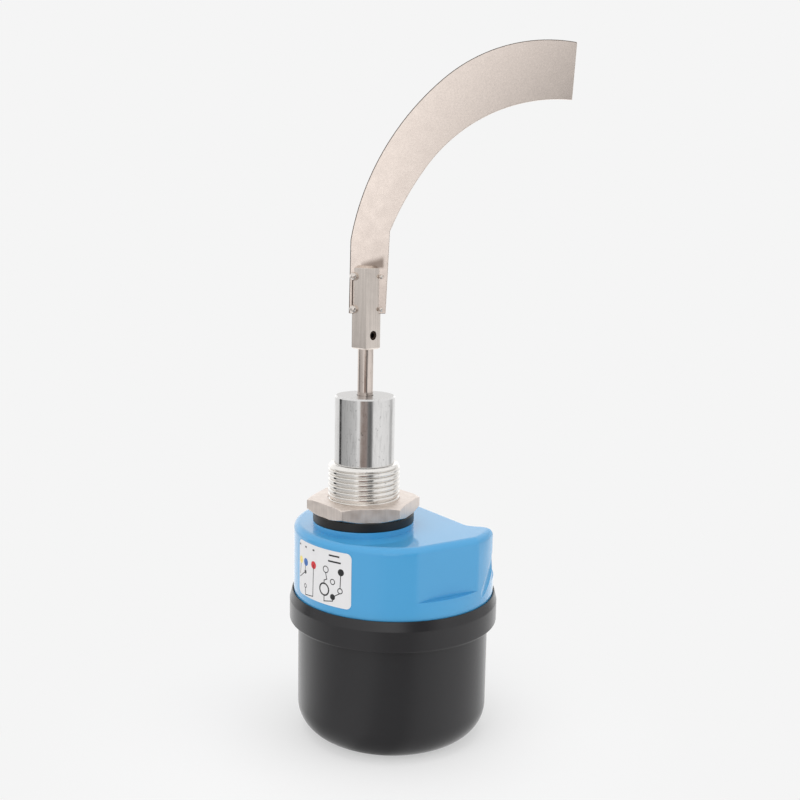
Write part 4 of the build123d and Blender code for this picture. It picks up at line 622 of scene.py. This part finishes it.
def takeOver(piece, name):
    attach(piece, bodyOf(name))
    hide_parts(name)


def plainMesh(piece):
    # runs the piece's modifiers once and keeps the plain mesh they give
    seen = piece.evaluated_get(bpy.context.evaluated_depsgraph_get())
    mesh = bpy.data.meshes.new_from_object(seen)
    piece.modifiers.clear()
    piece.data = mesh
    return piece


def newTree(name, sizes):
    tree = bpy.data.node_groups.new(name, "GeometryNodeTree")
    tree.interface.new_socket("Geometry", in_out="INPUT", socket_type="NodeSocketGeometry")
    for label in sizes:
        tree.interface.new_socket(label, in_out="INPUT", socket_type="NodeSocketFloat")
    tree.interface.new_socket("Geometry", in_out="OUTPUT", socket_type="NodeSocketGeometry")
    return tree, addNode(tree, "NodeGroupInput").outputs


def grow(piece, tree, sizes):
    modifier = piece.modifiers.new("shape", "NODES")
    modifier.node_group = tree
    for socket in tree.interface.items_tree:
        if socket.name in sizes:
            modifier[socket.identifier] = sizes[socket.name]
    return plainMesh(piece)


# edges: sharp corners broken as a file or a tumbling drum leaves them

brokenEdges = {
    # piece: width in mm
    "lock_nut": 0.25,
    "paddle_holder": 0.45,
    "paddle_blade": 0.35,
    "base_plate": 0.2,
    "swing_plate": 0.2,
    "switch_bracket": 0.2,
    "terminal_block": 0.3,
}
edgeCut = {"steps": 2, "corner": 35}  # flats on each broken edge, and the least corner broken, in degrees
# painted shade: a dark finish of its own on the broken edges that face this way, so that the sheet's outline
# shows dark on that side
edgesWithPaintedShade = {"paddle_blade": ("painted_shade_edge", (-0.69, 0.40, 0.6))}


def breakEdges():
    for name, width in brokenEdges.items():
        piece = standIn(name, joinedCopy(name))
        bevel = piece.modifiers.new("edges", "BEVEL")
        bevel.width = width * mm
        bevel.segments = edgeCut["steps"]
        bevel.limit_method = "ANGLE"
        bevel.angle_limit = math.radians(edgeCut["corner"])
        bevel.harden_normals = True
        # painted shade on the broken edges that face the given way
        if name in edgesWithPaintedShade:
            finish, way = edgesWithPaintedShade[name]
            piece.data.materials.append(materials[finish])
            bevel.material = 1
            for face in plainMesh(piece).data.polygons:
                if face.material_index == 1 and face.normal.dot(Vector(way)) < 0:
                    face.material_index = 0
        takeOver(plainMesh(piece), name)


breakEdges()
print("edges broken:", len(brokenEdges))


# thread on the spigot

thread = {
    "Major": 33.25 / 2 * mm,
    "Depth": 1.2 * mm,      # a used pipe thread: broad polished crests between narrow grooves
    "Crest": 0.25,          # half the crest's width, in pitches
    "Pitch": 2.309 * mm,
    "Low": -0.2 * mm,       # where the register starts, under the gasket
    "Top": 27.4 * mm,
    "Chamfer": 1.1 * mm,
    "Lead": 0.8,            # the chamfer's slope, in width per height
    "Full": 3.0 * mm,       # above this the groove has its full depth
}
threadMesh = {
    "aroundTurn": 72, "acrossPitch": 15,
    "spareTurns": 2,        # cut off level at the ends
    "join": 0.002 * mm,
    "near": 0.01 * mm,      # how close to an end counts as at it
    # run-out groove against the sleeve: radius, and height over the thread's top
    "rings": ((14.4 * mm, -0.6 * mm), (13.7 * mm, 0.05 * mm)),
}
sleeveEnd = {"facing": 0.9, "deep": 1 * mm}  # its end face: least Z of the normal, and depth below the tip


def makeThreadTree():
    tree, size = newTree("threadRidge", thread)
    turns = math.ceil((thread["Top"] - thread["Low"]) / thread["Pitch"]) + threadMesh["spareTurns"]
    grid = addNode(tree, "GeometryNodeMeshGrid", {
        "Size X": 1.0, "Size Y": 1.0, "Vertices X": turns * threadMesh["aroundTurn"] + 1,
        "Vertices Y": threadMesh["acrossPitch"]})
    place = addNode(tree, "GeometryNodeInputPosition").outputs[0]
    flat = addNode(tree, "ShaderNodeSeparateXYZ", {0: place}).outputs
    along = addNode(tree, "ShaderNodeMath", {0: flat["X"], 1: 0.5}, operation="ADD").outputs[0]
    turned = addNode(tree, "ShaderNodeMath", {0: along, 1: float(turns)}, operation="MULTIPLY").outputs[0]
    angle = addNode(tree, "ShaderNodeMath", {0: turned, 1: math.tau}, operation="MULTIPLY").outputs[0]
    # height: one pitch a turn, starting a pitch below the lowest cut
    pitches = addNode(tree, "ShaderNodeMath", {0: turned, 1: flat["Y"]}, operation="ADD").outputs[0]
    above = addNode(tree, "ShaderNodeMath", {0: pitches, 1: 1.0}, operation="SUBTRACT").outputs[0]
    height = addNode(tree, "ShaderNodeMath", {
        0: above, 1: size["Pitch"], 2: size["Low"]}, operation="MULTIPLY_ADD").outputs[0]
    # groove: crest at the strip's middle, root at its edges
    side = addNode(tree, "ShaderNodeMath", {0: flat["Y"]}, operation="ABSOLUTE").outputs[0]
    groove = addNode(tree, "ShaderNodeMapRange", {
        "Value": side, "From Min": size["Crest"], "From Max": 0.5},
        interpolation_type="SMOOTHSTEP").outputs[0]
    started = addNode(tree, "ShaderNodeMapRange", {
        "Value": height, "From Max": size["Full"]}, interpolation_type="SMOOTHSTEP").outputs[0]
    cut = addNode(tree, "ShaderNodeMath", {0: groove, 1: started}, operation="MULTIPLY").outputs[0]
    deep = addNode(tree, "ShaderNodeMath", {0: cut, 1: size["Depth"]}, operation="MULTIPLY").outputs[0]
    ridge = addNode(tree, "ShaderNodeMath", {0: size["Major"], 1: deep}, operation="SUBTRACT").outputs[0]
    # chamfer at the top
    rim = addNode(tree, "ShaderNodeMath", {
        0: size["Major"], 1: size["Chamfer"]}, operation="SUBTRACT").outputs[0]
    below = addNode(tree, "ShaderNodeMath", {0: size["Top"], 1: height}, operation="SUBTRACT").outputs[0]
    slope = addNode(tree, "ShaderNodeMath", {
        0: below, 1: size["Lead"], 2: rim}, operation="MULTIPLY_ADD").outputs[0]
    radius = addNode(tree, "ShaderNodeMath", {0: ridge, 1: slope}, operation="MINIMUM").outputs[0]
    cosine = addNode(tree, "ShaderNodeMath", {0: angle}, operation="COSINE").outputs[0]
    sine = addNode(tree, "ShaderNodeMath", {0: angle}, operation="SINE").outputs[0]
    placeX = addNode(tree, "ShaderNodeMath", {0: radius, 1: cosine}, operation="MULTIPLY").outputs[0]
    placeY = addNode(tree, "ShaderNodeMath", {0: radius, 1: sine}, operation="MULTIPLY").outputs[0]
    spot = addNode(tree, "ShaderNodeCombineXYZ", {"X": placeX, "Y": placeY, "Z": height}).outputs[0]
    wound = addNode(tree, "GeometryNodeSetPosition", {
        "Geometry": grid.outputs["Mesh"], "Position": spot}).outputs[0]
    closed = addNode(tree, "GeometryNodeMergeByDistance", {
        "Geometry": wound, "Distance": threadMesh["join"]}).outputs[0]
    whole = addNode(tree, "GeometryNodeRealizeInstances", {"Geometry": closed}).outputs[0]
    finish = addNode(tree, "GeometryNodeSetMaterial", {
        "Geometry": whole, "Material": materials["cut_thread"]}).outputs[0]
    addNode(tree, "NodeGroupOutput", {"Geometry": finish})
    return tree


def makeSpigot():
    ridge = bpy.data.objects.new("threadRidge", bpy.data.meshes.new("threadRidge"))
    bpy.context.collection.objects.link(ridge)
    grow(ridge, makeThreadTree(), thread)
    top, low, near = thread["Top"], thread["Low"], threadMesh["near"]
    # cut level at both ends, then two rings close the top against the sleeve
    form = bmesh.new()
    form.from_mesh(ridge.data)
    for height, way in ((top, 1), (low, -1)):
        bmesh.ops.bisect_plane(form, geom=form.verts[:] + form.edges[:] + form.faces[:],
                               plane_co=(0, 0, height), plane_no=(0, 0, way), clear_outer=True)
    rim = [e for e in form.edges if e.is_boundary and all(v.co.z > top - near for v in e.verts)]
    for radius, rise in threadMesh["rings"]:
        ring = bmesh.ops.extrude_edge_only(form, edges=rim)["geom"]
        for vert in (v for v in ring if isinstance(v, bmesh.types.BMVert)):
            shrink = radius / vert.co.xy.length
            vert.co = (vert.co.x * shrink, vert.co.y * shrink, top + rise)
        for face in (f for f in ring if isinstance(f, bmesh.types.BMFace)):
            face.normal_update()
            if face.normal.z < 0:
                face.normal_flip()
        rim = [e for e in ring if isinstance(e, bmesh.types.BMEdge) and e.is_boundary]
    ridgeMesh = bpy.data.meshes.new("threadCut")
    form.to_mesh(ridgeMesh)
    form.free()
    bpy.data.objects.remove(ridge)
    # the CAD spigot without its plain thread cylinder
    sleeve = threadMesh["rings"][-1][0]
    rest = joinedCopy("spigot")
    plain = []
    for face in rest.faces:
        heights = [v.co.z for v in face.verts]
        threaded = low - near < min(heights) and low + near < max(heights) < top + near
        if threaded and min(v.co.xy.length for v in face.verts) > sleeve:
            plain.append(face)
    bmesh.ops.delete(rest, geom=plain, context="FACES")
    rest.from_mesh(ridgeMesh)
    piece = standIn("spigot", rest)
    for edge in piece.data.edges:  # the ridges stay smooth
        heights = [piece.data.vertices[i].co.z for i in edge.vertices]
        if min(heights) > 0 and max(heights) < top - near:
            edge.use_edge_sharp = False
    piece.data.materials.append(materials["faced_end"])
    piece.data.materials.append(materials["cut_thread"])
    tip = max(v.co.z for v in piece.data.vertices)
    for face in piece.data.polygons:
        face.material_index = 0
        if face.normal.z > sleeveEnd["facing"] and face.center.z > tip - sleeveEnd["deep"]:
            face.material_index = 1
        elif low < face.center.z < top and face.center.xy.length > sleeve:
            face.material_index = 2
    takeOver(piece, "spigot")


makeSpigot()
print("thread cut")


# weld beads: small puddles that froze unevenly

beads = {"Swell": 0.35 * mm, "Wave": perMm(1.4), "Middle": 0.55}  # the lumps' height, size and mean level
beadSteps = 2  # times the CAD's bead is divided
beadChange = {
    # size against the CAD's bead, and its move in mm: along the blade's width, and out of its front
    "left": (1.3, 0.6, 0.7), "right": (0.72, 0.2, 0.0),
}


def makeBeads():
    tree, size = newTree("frozenPuddles", beads)
    smooth = addNode(tree, "GeometryNodeSubdivisionSurface", {
        "Mesh": size["Geometry"], "Level": beadSteps}).outputs[0]
    lumps = addNode(tree, "ShaderNodeTexNoise", {"Scale": size["Wave"], "Detail": 1.0}).outputs["Fac"]
    centred = addNode(tree, "ShaderNodeMath", {0: lumps, 1: size["Middle"]}, operation="SUBTRACT").outputs[0]
    rise = addNode(tree, "ShaderNodeMath", {0: centred, 1: size["Swell"]}, operation="MULTIPLY").outputs[0]
    outwards = addNode(tree, "GeometryNodeInputNormal").outputs[0]
    lump = addNode(tree, "ShaderNodeVectorMath", {
        0: outwards, "Scale": rise}, operation="SCALE").outputs[0]
    shaped = addNode(tree, "GeometryNodeSetPosition", {"Geometry": smooth, "Offset": lump}).outputs[0]
    whole = addNode(tree, "GeometryNodeRealizeInstances", {"Geometry": shaped}).outputs[0]
    finish = addNode(tree, "GeometryNodeSetMaterial", {
        "Geometry": whole, "Material": materials["weld_metal"]}).outputs[0]
    addNode(tree, "NodeGroupOutput", {"Geometry": finish})
    turn = math.radians(bladeMarks["turn"])
    acrossBlade = Vector((math.cos(turn), math.sin(turn), 0))
    outOfBlade = Vector((math.sin(turn), -math.cos(turn), 0))
    form = joinedCopy("weld_beads")
    low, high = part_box("weld_beads")
    single = {}
    for vert in form.verts:
        side = "left" if vert.co.x < 0 else "right"
        single.setdefault((side, vert.co.z < (low[2] + high[2]) / 2), []).append(vert)
    for (side, _), verts in single.items():
        swell, along, out = beadChange[side]
        move = (acrossBlade * along + outOfBlade * out) * mm
        middle = sum((v.co for v in verts), Vector()) / len(verts)
        for vert in verts:
            vert.co = middle + (vert.co - middle) * swell + move
    piece = standIn("weld_beads", form, crisp=180)
    takeOver(grow(piece, tree, beads), "weld_beads")


makeBeads()
print("weld beads made")


# return spring: the CAD spring, joined up and baked in place and left out of every body; one loop sits on the
# base plate's stud, the other on the swing arm's


def makeSpring():
    fixed, moved = (sum((Vector(corner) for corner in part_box(name)), Vector()) / 2
                    for name in ("fixed_spring_stud", "swing_spring_stud"))
    fixed.z = moved.z  # the two stud centres brought to one height; nothing below uses them
    piece = standIn("return_spring", joinedCopy("return_spring"))
    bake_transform(piece)
    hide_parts("return_spring")


makeSpring()


# wiring print on the label: plain dots, rings and lines, no lettering

wiringPrint = {
    "proud": 0.02,          # mm, above the label
    "line": 0.42,
    "strip": 0.8,           # mm, the width of the flat strips that go round the can
    "corners": 36,          # of a dot or a ring
    "dots": (
        # degrees round the can, height, diameter, ink; the pieces below are laid out alike
        (187.8, -15.7, 3.6, "red"), (180.2, -15.9, 3.6, "blue"), (174.6, -15.9, 3.4, "yellow"),
        (207.7, -15.6, 3.2, "black"), (202.5, -27.7, 2.8, "black"), (179.8, -20.6, 1.8, "black")),
    "rings": (
        (197.6, -15.7, 3.4), (202.4, -20.7, 2.8), (207.3, -24.2, 2.8), (196.5, -25.1, 6.2),
        (196.5, -25.1, 5.6), (179.8, -27.2, 2.2)),
    "runs": (
        # points: degrees round the can, height
        ((207.7, -15.6), (207.3, -23.1)),
        ((207.3, -25.3), (202.5, -27.7), (202.5, -29.6), (196.5, -30.6), (196.5, -27.6)),
        ((196.5, -22.6), (196.5, -20.9), (198.4, -20.1), (197.6, -17.4)),
        ((187.8, -15.7), (187.3, -30.5), (179.9, -31.3), (179.8, -28.1)),
        ((180.2, -15.9), (179.2, -20.9), (173.2, -24.2)),
        ((174.6, -15.9), (173.4, -22.6))),
    "bars": (
        # where the real label has words: degrees, height, width in degrees
        (203.2, -8.7, 7.0), (203.4, -11.4, 8.4),
        (187.7, -8.8, 1.6), (180.2, -8.8, 1.6), (173.2, -8.8, 1.6)),
    "barHeight": 0.75,
}
inks = {"black": "1d1d1f", "red": "c8202c", "blue": "2f66ad", "yellow": "ecd77a"}


def makeWiringPrint():
    low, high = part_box("cover")
    axis = Vector(((low[0] + high[0]) / 2, (low[1] + high[1]) / 2, 0))
    corner = max((v.co - axis).xy.length for v in nodes["wiring_label"].data.vertices)
    radius = corner + wiringPrint["proud"] * mm
    forms = {ink: bmesh.new() for ink in inks}  # drawn unrolled: X round the can, Z up

    def patch(ink, outline):
        face = forms[ink].faces.new([forms[ink].verts.new((x, 0, z)) for x, z in outline])
        face.normal_update()
        if face.normal.y > 0:
            face.normal_flip()

    def arcLength(degrees):
        return math.radians(degrees) * radius

    def wrap(form):
        # cut into narrow strips, then rolled round the can
        span = [v.co.x for v in form.verts]
        cut = min(span) + wiringPrint["strip"] * mm
        while cut < max(span):
            bmesh.ops.bisect_plane(form, geom=form.verts[:] + form.edges[:] + form.faces[:],
                                   plane_co=(cut, 0, 0), plane_no=(1, 0, 0))
            cut += wiringPrint["strip"] * mm
        for vert in form.verts:
            angle = vert.co.x / radius
            vert.co.x = axis.x + radius * math.cos(angle)
            vert.co.y = axis.y + radius * math.sin(angle)

    def circle(degrees, height, radiusMm):
        steps = [math.tau * i / wiringPrint["corners"] for i in range(wiringPrint["corners"])]
        return [(arcLength(degrees) + radiusMm * mm * math.cos(a), (height + radiusMm * math.sin(a)) * mm)
                for a in steps]

    for degrees, height, width, ink in wiringPrint["dots"]:
        patch(ink, circle(degrees, height, width / 2))
    for degrees, height, width in wiringPrint["rings"]:
        outer = circle(degrees, height, width / 2)
        inner = circle(degrees, height, width / 2 - wiringPrint["line"])
        for i in range(len(outer)):
            patch("black", [outer[i - 1], outer[i], inner[i], inner[i - 1]])
    half = wiringPrint["line"] / 2 * mm
    for run in wiringPrint["runs"]:
        spots = [Vector((arcLength(degrees), height * mm)) for degrees, height in run]
        for a, b in zip(spots, spots[1:]):
            way = (b - a).normalized() * half
            across = Vector((-way.y, way.x))
            patch("black", [a - way + across, a - way - across, b + way - across, b + way + across])
    for degrees, height, width in wiringPrint["bars"]:
        left, right = arcLength(degrees - width / 2), arcLength(degrees + width / 2)
        bottom, top = ((height + side * wiringPrint["barHeight"] / 2) * mm for side in (-1, 1))
        patch("black", [(left, bottom), (right, bottom), (right, top), (left, top)])
    for ink, form in forms.items():
        wrap(form)
        mesh = bpy.data.meshes.new(ink + "Print")
        form.to_mesh(mesh)
        form.free()
        mesh.materials.append(printInk(ink + "PrintInk", inks[ink]))
        piece = bpy.data.objects.new(ink + "Print", mesh)
        bpy.context.collection.objects.link(piece)
        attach(piece, bodyOf("wiring_label"))


makeWiringPrint()
print("label printed")
